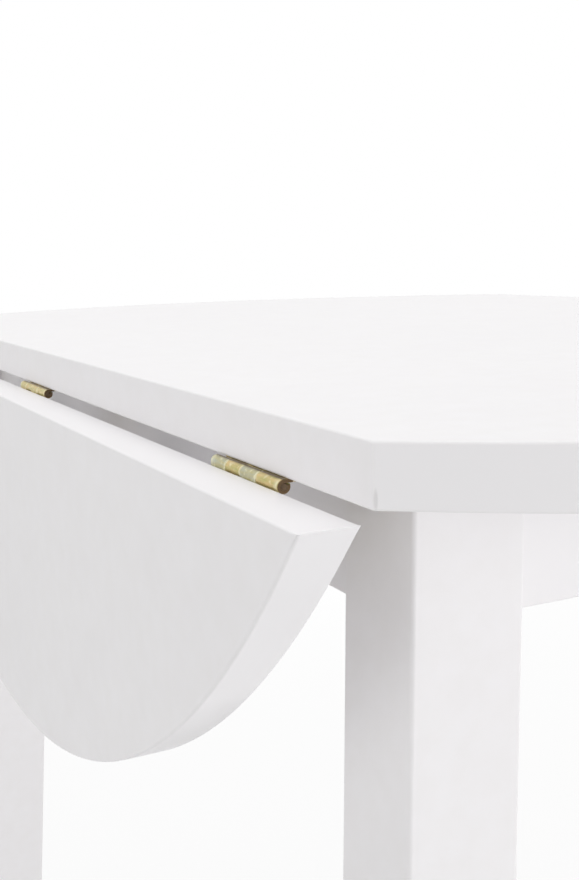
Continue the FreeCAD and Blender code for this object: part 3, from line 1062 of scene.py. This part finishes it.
@dataclass
class LegFrame:
    """Four leaning legs, the aprons between them, and the glides under them."""

    leg_width: float = 42 * MM
    arris: float = 1.5 * MM
    arris_slack: float = 0.1 * MM
    arris_steps: int = 9
    foot_ease: float = 1.2 * MM
    apron_ease: float = 1 * MM
    apron_steps: int = 6
    glide_chamfer: float = 1.2 * MM
    glide_segments: int = 48
    nail_radius: float = 2.6 * MM
    nail_profile: tuple[Pair, ...] = ((0.2, 0.9), (0.8, 1.0), (1.0, 1.3), (1.0, 1.8), (1.7, 1.8), (2.1, 0.0))

    def __post_init__(self) -> None:
        """Measures the right rear leg."""
        self.leg_low, self.leg_high = node_box("rear_right_leg")
        outer = self.leg_low[:2] + self.leg_width
        rise = self.leg_high[2] - self.leg_low[2]
        self.lean = float((self.leg_high[0] - outer[0]) / rise)
        self.top_middle = outer - self.leg_width / 2

    def leg_shell(self, side: Side, end: End) -> Shell:
        """Carries a rounded square down the leg.

        The middle of the section at height z is its place at the top plus lean * (top - z) both ways, and the
        section is drawn in by the ease at the foot.

        Args:
            side: Which side.
            end: Which end.

        Returns:
            The leg.
        """
        foot, top = self.leg_low[2], self.leg_high[2]
        height = np.array([foot, foot + self.foot_ease, top])
        half = self.leg_width / 2
        section = rounded_rectangle(half, half, self.arris, self.arris_steps)
        scale = (half - np.array([self.foot_ease, 0.0, 0.0])) / half
        middle = self.top_middle + self.lean * (top - height)[:, None]
        points = raised(middle[:, None] + scale[:, None, None] * section, height)
        worn = np.min(abs(section), axis=1) > half - self.arris - self.arris_slack
        return loft(to_corner(points, side, end), worn)

    def apron_shell(self, node: str, along: int) -> Shell:
        """Carries an apron's section from one leaning end to the other.

        At height h above the lower edge, half the length is that at the lower edge less lean * h, so that
        the ends meet the legs' faces.

        Args:
            node: The apron's node.
            along: 0 if it runs along X, or 1 if it runs along Y.

        Returns:
            The apron.
        """
        low, high = node_box(node)
        across = 1 - along
        tall = high[2] - low[2]
        half = (high[across] - low[across]) / 2
        ease = self.apron_ease
        angle = np.linspace(0, QUARTER, self.apron_steps)
        left = np.stack([-half + ease * (1 - np.cos(angle)), ease * (1 - np.sin(angle))], axis=1)
        right = left[::-1] * np.array([-1, 1])
        section = np.concatenate([[[-half, tall]], left, right, [[half, tall]]])
        points = np.empty((2, len(section), 3))
        points[:, :, along] = np.array([-1, 1])[:, None] * (high[along] - self.lean * section[:, 1])
        points[:, :, across] = (low[across] + high[across]) / 2 + section[:, 0]
        points[:, :, 2] = low[2] + section[:, 1]
        return loft(points, section[:, 1] < ease)

    def glide_shell(self, side: Side, end: End) -> Shell:
        """Turns a glide: a chamfered disc with a dished middle and the head of its nail.

        Its profile starts with the nail's, which counts radii in nail radii and heights in chamfers.

        Args:
            side: Which side.
            end: Which end.

        Returns:
            The glide.
        """
        low, high = node_box("rear_right_glide")
        radius = (high[0] - low[0]) / 2
        chamfer = self.glide_chamfer
        nail = np.array(self.nail_profile) * np.array([self.nail_radius, chamfer])
        rim = [(radius - chamfer, 0.0), (radius, chamfer), (radius, self.leg_low[2])]
        profile = np.concatenate([nail, rim])
        middle = (low + high) / 2 * np.array([1, 1, 0])
        points = turned(profile, self.glide_segments) + middle
        return loft(to_corner(points, side, end), profile[:, 1:] <= chamfer)

    def make(self) -> None:
        """Makes the legs, the glides and the aprons."""
        for side in Side:
            for end in End:
                corner = f"{end.word}_{side.word}"
                make_piece(f"{corner}_leg", [self.leg_shell(side, end)], LEG_LACQUER)
                make_piece(f"{corner}_glide", [self.glide_shell(side, end)], NYLON)
            apron = f"{side.word}_side_apron"
            make_piece(apron, [self.apron_shell(apron, 1)], SIDE_APRON_LACQUER)
        for end in End:
            apron = f"{end.word}_end_apron"
            make_piece(apron, [self.apron_shell(apron, 0)], END_APRON_LACQUER)


# Hinges


@dataclass
class Hinges:
    """Six butt hinges, each with two plates whose rolled knuckles share a pin."""

    sheet: float = 1.1 * MM
    bore: float = 1.1 * MM
    relief: float = 0.5 * MM
    strap_lap: float = 0.2 * MM
    plate_width: float = 20 * MM
    plate_corner: float = 2 * MM
    end_knuckle: float = 15.5 * MM
    knuckle: float = 11.5 * MM
    knuckles: int = 4
    knuckle_gap: float = 0.3 * MM
    ease: float = 0.18 * MM
    bright_band: float = 0.3 * MM
    rubbed_band: float = 0.55 * MM
    scuffed_band: float = 3.5 * MM
    # At a rim next to another knuckle the values below 0 rub it bright. At a barrel's end the face is darker,
    # and the values below 0 on the band behind it are a painted highlight.
    running_wear: tuple[float, ...] = (-0.6, -1.0, -0.9, 0.0, 0.0)
    sheared_wear: tuple[float, ...] = (1.0, 0.3, -0.2, -0.7, 0.0)
    # Angular width of the painted shade in the crevice between the barrel and the board's underside.
    crevice: float = math.radians(17)
    curl: float = math.radians(290)
    curl_steps: int = 44
    pin_play: float = 0.05 * MM
    pin_end: tuple[Pair, ...] = ((0.3, 0.0), (0.85, -0.02 * MM), (1.0, -0.1 * MM))
    pin_segments: int = 32
    screw_offset: float = 12 * MM
    screw_pitch: float = 32 * MM
    screw_length: float = 13 * MM

    @property
    def barrel(self) -> float:
        """Outer radius of a knuckle."""
        return self.bore + self.sheet

    @property
    def length(self) -> float:
        """Length of the barrel."""
        return self.end_knuckle + (self.knuckles - 1) * self.knuckle

    def spans(self) -> list[Pair]:
        """Shares the barrel out among the knuckles, with half a gap off each end.

        Returns:
            The start and the end of each knuckle along the pin, from the longer one on.
        """
        lengths = np.array([self.end_knuckle] + [self.knuckle] * (self.knuckles - 1))
        high = self.length / 2 - np.concatenate([[0], np.cumsum(lengths[:-1])])
        half_gap = self.knuckle_gap / 2
        return [(h - size + half_gap, h - half_gap) for h, size in zip(high, lengths)]

    def curl_outline(self, inset: float) -> np.ndarray:
        """Outlines a knuckle: a strap that runs in level and curls round the pin.

        The outer line is the strap's upper face and then the arc (R cos a, R sin a) from a = 90 degrees on
        by the curl. The inner line goes back along the arc of the bore and the strap's lower face.

        Args:
            inset: How far the sheet is drawn in on its outer side.

        Returns:
            Points of shape (n, 2), as (outward, up).
        """
        arc = unit_arc(QUARTER + np.linspace(0, self.curl, self.curl_steps))
        root = self.barrel + self.relief + self.strap_lap
        outer = self.barrel - inset
        return np.concatenate([outer * arc, self.bore * arc[::-1], [[root, self.bore], [root, outer]]])

    def knuckle_shell(self, low: float, high: float, sheared: tuple[bool, bool], top: float) -> Shell:
        """Carries the curl along the pin, with eased rims.

        Each rim is rubbed bright next to another knuckle. At an end of the barrel the face is darker and the
        band behind it carries a painted highlight. Painted shade lies along the line nearest the board, in
        the crevice under its underside, as exp(-((a - top) / w)^2) of the angle a round the curl, where w is
        the painted shade's width.

        Args:
            low: Where the knuckle starts along the pin.
            high: Where it ends.
            sheared: Whether each end is an end of the barrel.
            top: Angle round the curl that lies nearest the board's underside while the leaf hangs, where the
                painted shade is centred.

        Returns:
            The knuckle, with the pin's axis at the origin along Y.
        """
        offset = np.array([0.0, self.ease, self.bright_band, self.rubbed_band, self.scuffed_band])
        start, stop = (self.sheared_wear if cut else self.running_wear for cut in sheared)
        along = np.array([*start, *stop[::-1]])
        place = np.concatenate([low + offset, high - offset[::-1]])
        inset = np.zeros_like(place)
        inset[[0, -1]] = self.ease
        loops = np.stack([self.curl_outline(i) for i in inset])
        angle = np.arctan2(loops[..., 1], loops[..., 0]) % FULL_TURN
        # Painted shade along the crevice nearest the board's underside, mixed into the knuckle's per-point
        # values.
        crevice_shade = np.exp(-(((angle - top) / self.crevice) ** 2))
        return loft(on_edge(raised(loops, place)), along[:, None] * (1 - crevice_shade) + crevice_shade)

    def plate_shells(self, first: int, top: float) -> list[Shell]:
        """Makes a plate that runs outwards level, with every other knuckle. Its sheared ends are darker.

        Args:
            first: Which knuckle comes first, counted from the longer one.
            top: Angle round the curl that lies nearest the board's underside while the leaf hangs.

        Returns:
            The plate and its knuckles, with the pin's axis at the origin along Y.
        """
        root = self.barrel + self.relief
        half_u = (self.plate_width - root) / 2
        outline = rounded_rectangle(half_u, self.length / 2, self.plate_corner)
        flat = plate(outline + np.array([root + half_u, 0]), self.sheet, self.ease) + self.bore * Z_AXIS
        shells = [loft(flat, abs(flat[..., 1]) > self.length / 2 - 2 * self.ease)]
        for number, (low, high) in list(enumerate(self.spans()))[first::2]:
            sheared = (number == self.knuckles - 1, number == 0)
            shells.append(self.knuckle_shell(low, high, sheared, top))
        return shells

    def pin_shell(self) -> Shell:
        """Turns the pin, with peened ends that count radii in shares of its own.

        Returns:
            The pin, with its middle at the origin, along Y.
        """
        end = np.array(self.pin_end) * np.array([self.bore - self.pin_play, 1])
        end += np.array([0, self.length / 2])
        profile = np.concatenate([end * np.array([1, -1]), end[::-1]])
        return loft(aimed(turned(profile, self.pin_segments), np.zeros(3), Y_AXIS))

    def make(self, tray: ScrewTray) -> None:
        """Makes the plates and pins, and adds their screws to a tray.

        Args:
            tray: Where the screws go.
        """
        for side in Side:
            for place in Place:
                self.make_hinge(side, place, tray)

    def make_hinge(self, side: Side, place: Place, tray: ScrewTray) -> None:
        """Makes one hinge.

        The top's plate runs inwards under the board: (x, y, z) becomes (-x, y, z). The leaf's plate hangs.
        The leaf's plates of the outer hinges are greyer.

        Args:
            side: Which side of the table.
            place: Which place along the seam.
            tray: Where the screws go.
        """
        name = f"{side.word}_{place.word}_hinge"
        pin = to_side(node_middle(f"{name}_pin"), side)
        inwards = np.array([-1, 1, 1])
        top = [s.moved(to_side(s.points * inwards + pin, side)) for s in self.plate_shells(0, QUARTER)]
        make_piece(f"{name}_top_plate", top, GOLD_PASSIVATE)
        hung = [s.moved(to_side(hang(s.points) + pin, side)) for s in self.plate_shells(1, math.pi)]
        leaf_tint = GOLD_PASSIVATE if place is Place.MIDDLE else GREY_PASSIVATE
        make_piece(f"{name}_leaf_plate", hung, leaf_tint)
        wire = self.pin_shell()
        make_piece(f"{name}_pin", [wire.moved(to_side(wire.points + pin, side))], BROWNED_WIRE)
        for step in (-0.5, 0.5):
            seat = np.array([self.screw_offset, step * self.screw_pitch, self.bore])
            base = to_side(seat * inwards + pin, side)
            tray.add("hinge_top_screws", Head.SUNK, self.screw_length, base, Z_AXIS)
            base = to_side(hang(seat) + pin, side)
            tray.add(f"{side.word}_leaf_screws", Head.SUNK, self.screw_length, base, side.value * X_AXIS)


# Props


@dataclass
class Props:
    """Four arms that swing up under the leaves, their forks and rivets, and the strikes that they meet."""

    sheet: float = 2.0 * MM
    ease: float = 0.5 * MM
    fork_round: float = 8.0 * MM
    fork_steps: int = 20
    ear_ease: float = 0.3 * MM
    flange: float = 14.0 * MM
    base_corner: float = 2.0 * MM
    rivet_radius: float = 2.5 * MM
    rivet_head: float = 4.0 * MM
    rivet_rise: float = 1.2 * MM
    rivet_start: float = 0.08
    rivet_steps: int = 8
    rivet_segments: int = 36
    screw_length: float = 15.0 * MM
    strike_sheet: float = 1.5 * MM
    strike_bend: float = 1.35 * MM
    strike_ease: float = 0.2 * MM
    strike_back: float = 16.0 * MM
    strike_screw_back: float = 10.0 * MM
    strike_screw_pitch: float = 16.0 * MM
    strike_screw_length: float = 13.0 * MM

    def arm_shell(self, low: np.ndarray, high: np.ndarray) -> Shell:
        """Carries a round-ended bar's outline through its thickness.

        Args:
            low: Lowest corner of the arm.
            high: Its highest corner.

        Returns:
            The arm.
        """
        half = (high[0] - low[0]) / 2
        outline = stadium(high[2] - low[2] - 2 * half, half)
        loops = plate(outline, high[1] - low[1], self.ease)
        return loft(on_edge(loops) + np.array([low[0] + half, low[1], high[2] - half]))

    def fork_shells(self, low: np.ndarray, high: np.ndarray, pivot: np.ndarray) -> list[Shell]:
        """Makes the fork's base against the apron and its two ears, round about the pivot.

        Args:
            low: Lowest corner of the fork, on the right side.
            high: Its highest corner.
            pivot: A point on the pivot's axis.

        Returns:
            The base and the ears.
        """
        _, half_y, half_z = (high - low) / 2
        base = plate(rounded_rectangle(half_y, half_z, self.base_corner), self.sheet, self.ease)
        shells = [loft(base[..., [2, 0, 1]] + low + np.array([0, half_y, half_z]))]
        nose = self.fork_round * unit_arc(np.linspace(-QUARTER, QUARTER, self.fork_steps))
        back = low[0] + self.ease - pivot[0]
        outline = np.concatenate([nose, [[back, self.fork_round], [back, -self.fork_round]]])
        ear = on_edge(plate(outline, self.sheet, self.ear_ease))
        for y in (low[1] + self.flange, high[1] - self.flange - self.sheet):
            shells.append(loft(ear + np.array([pivot[0], y, pivot[2]])))
        return shells

    def rivet_shell(self, low: np.ndarray, high: np.ndarray, pivot: np.ndarray) -> Shell:
        """Turns a rivet with a domed head at each end.

        A head's profile is the quarter ellipse (head * sin a, rise * cos a).

        Args:
            low: Lowest corner of the fork.
            high: Its highest corner.
            pivot: A point on the pivot's axis.

        Returns:
            The rivet.
        """
        angle = np.linspace(self.rivet_start, QUARTER, self.rivet_steps)
        dome = np.stack([self.rivet_head * np.sin(angle), self.rivet_rise * np.cos(angle)], axis=1)
        span = high[1] - low[1] - 2 * self.flange
        stem = [[self.rivet_radius, 0.0], [self.rivet_radius, span]]
        profile = np.concatenate([dome * np.array([1, -1]), stem, dome[::-1] + np.array([0, span])])
        base = np.array([pivot[0], low[1] + self.flange, pivot[2]])
        return loft(aimed(turned(profile, self.rivet_segments), base, Y_AXIS))

    def strike_shell(self, low: np.ndarray, high: np.ndarray) -> Shell:
        """Folds a strike's sheet, with its lip, and carries it along Y.

        Args:
            low: Lowest corner of the hanging strike, on the right side.
            high: Its highest corner.

        Returns:
            The strike.
        """
        half = self.strike_sheet / 2
        back, foot = high[0] - half, low[2] + half
        line = np.array([(back, high[2]), (back, foot), (low[0], foot)])
        outline = bent_sheet(line, self.strike_sheet, self.strike_bend)
        loops = plate(outline[::-1], high[1] - low[1], self.strike_ease)
        return loft(on_edge(loops) + low[1] * Y_AXIS)

    def make(self, tray: ScrewTray) -> None:
        """Makes the props of both leaves, and adds their screws to a tray.

        Args:
            tray: Where the screws go.
        """
        rivets: list[Shell] = []
        joints = {joint["name"]: joint for joint in frame["joints"]}
        for side in Side:
            for end in End:
                name = f"{side.word}_{end.word}"
                pivot = np.array(joints[f"{name}_prop_pivot"]["pos_m"])
                rivets.append(self.make_prop(name, side, pivot, tray))
        make_piece("prop_rivets", rivets, ZINC)

    def make_prop(self, name: str, side: Side, pivot: np.ndarray, tray: ScrewTray) -> Shell:
        """Makes one prop: its arm, fork and strike, and its screws.

        The fork, the rivet and the strike are worked out on the right side, and mirrored in X for the left
        side.

        Args:
            name: What its nodes' names start with.
            side: Which side of the table.
            pivot: A point on the pivot's axis.
            tray: Where the screws go.

        Returns:
            The prop's rivet.
        """
        make_piece(f"{name}_prop_arm", [self.arm_shell(*node_box(f"{name}_prop_arm"))], POWDER)
        mirror = np.array([side.value, 1, 1])
        low, high = right_hand(f"{name}_prop_fork", mirror)
        forks = self.fork_shells(low, high, pivot * mirror)
        make_piece(f"{name}_prop_fork", [s.moved(s.points * mirror) for s in forks], ZINC)
        rivet = self.rivet_shell(low, high, pivot * mirror)
        strike_low, strike_high = right_hand(f"{name}_strike_plate", mirror)
        strike = self.strike_shell(strike_low, strike_high)
        make_piece(f"{name}_strike_plate", [strike.moved(strike.points * mirror)], ZINC)
        _, middle_y, middle_z = (low + high) / 2
        outwards = side.value * X_AXIS
        for y in (low[1] + self.flange / 2, high[1] - self.flange / 2):
            seat = np.array([low[0] + self.sheet, y, middle_z])
            tray.add("prop_fork_screws", Head.PAN, self.screw_length, seat * mirror, -outwards)
        face = strike_high[0] - self.strike_sheet
        row = strike_high[2] - self.strike_back + self.strike_screw_back
        for step in (-0.5, 0.5):
            seat = np.array([face, middle_y + step * self.strike_screw_pitch, row])
            tray.add(f"{side.word}_leaf_screws", Head.SUNK, self.strike_screw_length, seat * mirror, outwards)
        return rivet.moved(rivet.points * mirror)


def right_hand(node: str, mirror: np.ndarray) -> tuple[np.ndarray, np.ndarray]:
    """Returns a node's lowest and highest corners, mirrored to the right side."""
    low, high = node_box(node)
    return np.minimum(low * mirror, high * mirror), np.maximum(low * mirror, high * mirror)


# Corner brackets and angle brackets


@dataclass
class Fixings:
    """What ties the legs to the aprons and the centre board to the frame."""

    sheet: float = 2.0 * MM
    bend: float = 1.6 * MM
    ease: float = 0.25 * MM
    flange: float = 24.0 * MM
    fold: float = math.radians(45)
    bracket_stand: float = 14.0 * MM
    bolt_radius: float = 4.0 * MM
    bolt_root: float = 0.84
    bolt_pitch: float = 1.25 * MM
    bolt_loops: int = 4
    bolt_tail: float = 3.0 * MM
    bolt_depth: float = 30.0 * MM
    bolt_lead: float = 4.0 * MM
    bolt_lead_share: float = 0.8
    bolt_tip: float = 6.0 * MM
    bolt_tip_share: float = 0.1
    bolt_segments: int = 32
    lag_root: float = 0.7
    lag_pitch: float = 3.2 * MM
    lag_loops: int = 6
    nut_sides: int = 6
    nut_flats: float = 13.0 * MM
    nut_height: float = 6.5 * MM
    nut_flange: float = 9.0 * MM
    nut_flange_height: float = 1.6 * MM
    nut_flange_profile: tuple[Pair, ...] = ((0.96, 0.0), (1.0, 0.3), (0.93, 0.8))
    nut_flats_start: float = 1.2
    nut_flats_end: float = 0.88
    nut_crown: float = 1.02
    nut_mouth: Pair = (1.12, 0.93)
    nut_segments: int = 72
    angle_leg: float = 20.0 * MM
    angle_width: float = 16.0 * MM
    angle_offset: float = 120.0 * MM
    screw_length: float = 15.0 * MM

    def bracket_shell(self, low: np.ndarray, high: np.ndarray) -> Shell:
        """Folds a corner bracket's sheet in plan and carries it up.

        The middle line runs along one apron, across the corner and along the other apron.

        Args:
            low: Lowest corner of the bracket at the right rear.
            high: Its highest corner.

        Returns:
            The bracket.
        """
        half = self.sheet / 2
        fold_x, fold_y, _ = low + self.flange - half * math.tan(self.fold / 2)
        side_x, end_y, _ = high - half
        line = np.array([(side_x, low[1]), (side_x, fold_y), (fold_x, end_y), (low[0], end_y)])
        loops = plate(bent_sheet(line, self.sheet, self.bend), high[2] - low[2], self.ease)
        return loft(loops + low[2] * Z_AXIS)

    def nut_shell(self) -> Shell:
        """Makes a flange nut as a ring: out under its flange, up its hexagon and back down its bore.

        The hexagon's radius at angle a is half the flats over cos(a mod 60 - 30 degrees), cut at the top by a
        chamfer. The flange's profile is in shares of its radius and height.

        Returns:
            The nut, with its seat at 0 and its third axis outwards.
        """
        angle = all_round(self.nut_segments)
        sector = FULL_TURN / self.nut_sides
        hexagon = self.nut_flats / 2 / np.cos(angle % sector - sector / 2)
        bore = np.full_like(angle, self.bolt_radius)
        flange = np.full_like(angle, self.nut_flange)
        crown = np.minimum(hexagon, self.nut_flats / 2 * self.nut_crown)
        flare, depth = self.nut_mouth
        rise, top = self.nut_flange_height, self.nut_height
        rows = [(bore, 0.0)]
        rows += [(share * flange, lift * rise) for share, lift in self.nut_flange_profile]
        rows += [(hexagon, self.nut_flats_start * rise), (hexagon, self.nut_flats_end * top), (crown, top)]
        rows += [(flare * bore, top), (bore, depth * top)]
        radius = np.stack([row for row, _ in rows])
        height = np.array([lift for _, lift in rows])[:, None]
        return loft(polar(radius, angle, height), ring=True)

    def bolt_shell(self, outside: float) -> Shell:
        """Makes a hanger bolt: a machine thread outside the leg, and a coarser wood thread inside it.

        A taper draws the thread in over the lead at its outer end and over the tip at the other.

        Args:
            outside: Length outside the leg.

        Returns:
            The bolt, with its outer end at 0 and its third axis into the leg.
        """
        angle = all_round(self.bolt_segments)[None]
        end = outside + self.bolt_depth
        machine = np.linspace(0, outside, int(self.bolt_loops * outside / self.bolt_pitch))
        wood = np.linspace(outside, end, int(self.lag_loops * self.bolt_depth / self.lag_pitch))[1:]
        height = np.concatenate([machine, wood])[:, None]
        pitch = np.where(height > outside, self.lag_pitch, self.bolt_pitch)
        root = np.where(height > outside, self.lag_root, self.bolt_root)
        lead = self.bolt_lead_share + height / self.bolt_lead
        tip = self.bolt_tip_share + (end - height) / self.bolt_tip
        taper = np.clip(np.minimum(lead, tip), self.bolt_tip_share, 1.0)
        radius = self.bolt_radius * thread(height, angle, pitch, root) * taper
        return loft(polar(radius, angle, height))

    def make_corners(self, tray: ScrewTray) -> None:
        """Makes the brackets, bolts and nuts of the four corners, and adds their screws to a tray.

        Args:
            tray: Where the screws go.
        """
        low, high = node_box("rear_right_corner_bracket")
        bracket = self.bracket_shell(low, high)
        diagonal = (X_AXIS + Y_AXIS) / math.sqrt(2)
        web = (low + high) / 2 + self.flange / 2 * (X_AXIS + Y_AXIS)
        seat = web - diagonal * self.sheet
        tail = self.nut_height + self.bolt_tail
        nut = self.nut_shell()
        nut_points = aimed(nut.points, seat, -diagonal)
        bolt = self.bolt_shell(tail + self.sheet + self.bracket_stand)
        bolt_points = aimed(bolt.points, seat - diagonal * tail, diagonal)
        side_seat = np.array([high[0] - self.sheet, low[1] + self.flange / 2, web[2]])
        end_seat = np.array([low[0] + self.flange / 2, high[1] - self.sheet, web[2]])
        bolts: list[Shell] = []
        nuts: list[Shell] = []
        for side in Side:
            for end in End:
                node = f"{end.word}_{side.word}_corner_bracket"
                make_piece(node, [bracket.moved(to_corner(bracket.points, side, end))], ZINC)
                bolts.append(bolt.moved(to_corner(bolt_points, side, end)))
                nuts.append(nut.moved(to_corner(nut_points, side, end)))
                for base, axis in ((side_seat, X_AXIS), (end_seat, Y_AXIS)):
                    place = to_corner(base, side, end)
                    aim = to_corner(axis, side, end)
                    tray.add("corner_bracket_screws", Head.PAN, self.screw_length, place, aim)
        make_piece("leg_bolts", bolts, ZINC)
        make_piece("leg_nuts", nuts, ZINC)

    def make_angles(self, tray: ScrewTray) -> None:
        """Makes the angle brackets under the centre board, and adds their screws to a tray.

        Each is worked out with its corner at the origin, turned about Z and moved to the top of its apron.

        Args:
            tray: Where the screws go.
        """
        side_low, side_high = node_box("right_side_apron")
        end_low, _ = node_box("rear_end_apron")
        half = self.sheet / 2
        line = np.array([(-self.angle_leg, -half), (-half, -half), (-half, -self.angle_leg)])
        loops = plate(bent_sheet(line, self.sheet, self.bend)[::-1], self.angle_width, self.ease)
        local = on_edge(loops) - self.angle_width / 2 * Y_AXIS
        reach = (self.angle_leg + self.sheet) / 2
        up_seat = np.array([-reach, 0.0, -self.sheet])
        side_seat = np.array([-self.sheet, 0.0, -reach])
        turns = [(side_low[0], y * self.angle_offset, 0.0) for y in (-1, 1)]
        turns += [(-side_low[0], y * self.angle_offset, math.pi) for y in (-1, 1)]
        turns += [(0.0, end_low[1], QUARTER), (0.0, -end_low[1], -QUARTER)]
        shells: list[Shell] = []
        for x, y, turn in turns:
            spin = np.array(Matrix.Rotation(turn, 3, "Z"))
            place = np.array([x, y, side_high[2]])
            shells.append(loft(local @ spin.T + place))
            for seat, axis in ((up_seat, Z_AXIS), (side_seat, X_AXIS)):
                base = spin @ seat + place
                tray.add("angle_bracket_screws", Head.PAN, self.screw_length, base, spin @ axis)
        make_piece("angle_brackets", shells, ZINC)


# Studio


@dataclass(frozen=True)
class Lamp:
    """A soft lamp: where it stands, what it looks at, how large it is and how strong, in watts."""

    name: str
    place: Triple
    target: Triple
    size: float
    power: float


@dataclass
class Studio:
    """A pale floor, soft light from all round, and the camera."""

    floor_half: float = 60.0
    floor_colour: Colour = (0.82, 0.82, 0.82)
    floor_roughness: float = 0.9
    floor_glow: Pair = (0.88, 1.0)
    floor_fade: Pair = (0.7, 3.5)
    ambient: float = 0.5
    lamps: tuple[Lamp, ...] = (
        Lamp("overhead_lamp", (0.2, 0.2, 3.2), (0.0, 0.0, 0.7), 2.4, 30.8),
        Lamp("left_lamp", (-1.35, -0.55, 1.25), (-0.28, 0.0, 0.68), 0.8, 3.3),
        Lamp("front_lamp", (1.7, -2.2, 0.65), (0.0, 0.0, 0.6), 1.2, 26.0),
        Lamp("front_left_lamp", (-1.25, -2.3, 1.05), (-0.25, -0.2, 0.68), 0.6, 2.8),
        Lamp("low_right_lamp", (2.4, 0.4, 0.35), (-0.28, 0.0, 0.62), 1.0, 6.0),
        Lamp("low_rear_lamp", (0.9, 2.4, 0.35), (-0.28, -0.1, 0.62), 1.0, 14.0),
    )
    camera_place: Triple = (-0.42252, -0.58693, 0.79645)
    yaw: float = math.radians(26.358)
    pitch: float = math.radians(9.486)
    roll: float = math.radians(1.286)
    focal_pixels: float = 1121.17
    picture_height: int = 880
    sensor: float = 36.0
    near_clip: float = 0.02

    def make_world(self) -> None:
        """Fills the world with white, which lights the object at the ambient strength and shows as white."""
        world = bpy.data.worlds.new("white_studio")
        bpy.context.scene.world = world
        wiring = Wiring(world)
        light = wiring.node("ShaderNodeBackground", Color=WHITE, Strength=self.ambient)
        shown = wiring.node("ShaderNodeBackground", Color=WHITE, Strength=1.0)
        both = wiring.layer(wiring.seen_share(), light, shown)
        wiring.feed(wiring.tree.nodes["World Output"].inputs["Surface"], both.outputs[0])

    def make_floor(self) -> None:
        """Lays a pale floor that reads as white and keeps a soft shadow, and that is clear from below.

        Its own glow grows from near to far with the distance from the table, so that no horizon shows.
        """
        half = self.floor_half
        corners = [(-half, -half, 0), (half, -half, 0), (half, half, 0), (-half, half, 0)]
        mesh = bpy.data.meshes.new("studio_floor")
        mesh.from_pydata(corners, [], [(0, 1, 2, 3)])
        floor = bpy.data.objects.new("studio_floor", mesh)
        bpy.context.scene.collection.objects.link(floor)
        recipe = Recipe("floor_paper")
        paper = recipe.shader
        paper.inputs["Base Color"].default_value = (*self.floor_colour, 1.0)
        paper.inputs["Roughness"].default_value = self.floor_roughness
        glow = recipe.node("ShaderNodeEmission", Color=WHITE, Strength=1.0)
        distance = recipe.reckon("ShaderNodeVectorMath", "LENGTH", recipe.place)
        fade = recipe.map(distance.outputs["Value"], (*self.floor_fade, *self.floor_glow))
        shown = recipe.layer(recipe.product(recipe.seen_share(), fade), paper, glow)
        clear = recipe.node("ShaderNodeBsdfTransparent")
        below = recipe.node("ShaderNodeNewGeometry").outputs["Backfacing"]
        sided = recipe.layer(below, shown, clear)
        recipe.feed(recipe.tree.nodes["Material Output"].inputs["Surface"], sided.outputs[0])
        mesh.materials.append(recipe.material)

    def make_lamps(self) -> None:
        """Hangs the soft lamps."""
        for lamp in self.lamps:
            data = bpy.data.lights.new(lamp.name, "AREA")
            data.size = lamp.size
            data.energy = lamp.power
            light = bpy.data.objects.new(lamp.name, data)
            bpy.context.scene.collection.objects.link(light)
            light.visible_camera = False
            light.visible_glossy = False
            light.location = lamp.place
            way = Vector(lamp.target) - Vector(lamp.place)
            light.rotation_euler = way.to_track_quat("-Z", "Y").to_euler()

    def make_camera(self) -> None:
        """Stands the camera where the photograph was taken from.

        It looks along yaw and down by pitch. Right and down are then turned about that line by roll.
        """
        level = Vector((math.cos(self.yaw), -math.sin(self.yaw), 0.0))
        ahead = Vector((math.sin(self.yaw), math.cos(self.yaw), 0.0))
        forward = math.cos(self.pitch) * ahead - math.sin(self.pitch) * Vector(Z_AXIS)
        plumb = forward.cross(level)
        right = math.cos(self.roll) * level + math.sin(self.roll) * plumb
        down = math.cos(self.roll) * plumb - math.sin(self.roll) * level
        data = bpy.data.cameras.new("photo_camera")
        data.sensor_width = self.sensor
        data.lens = self.focal_pixels * self.sensor / self.picture_height
        data.clip_start = self.near_clip
        camera = bpy.data.objects.new("photo_camera", data)
        bpy.context.scene.collection.objects.link(camera)
        turn = Matrix((right, -down, -forward)).transposed().to_4x4()
        camera.matrix_world = Matrix.Translation(self.camera_place) @ turn
        bpy.context.scene.camera = camera

    def make(self) -> None:
        """Makes the world, the floor, the lamps and the camera."""
        bpy.context.scene.view_settings.view_transform = "Standard"
        self.make_world()
        self.make_floor()
        self.make_lamps()
        self.make_camera()


def main() -> None:
    """Builds the table's sub-assemblies in order, then the studio."""
    logging.basicConfig(level=logging.INFO, format="%(name)s: %(message)s")
    tray = ScrewTray()
    fixings = Fixings()
    Boards().make()
    LegFrame().make()
    Hinges().make(tray)
    Props().make(tray)
    fixings.make_corners(tray)
    fixings.make_angles(tray)
    tray.make()
    Studio().make()


if __name__ == "__main__":
    main()
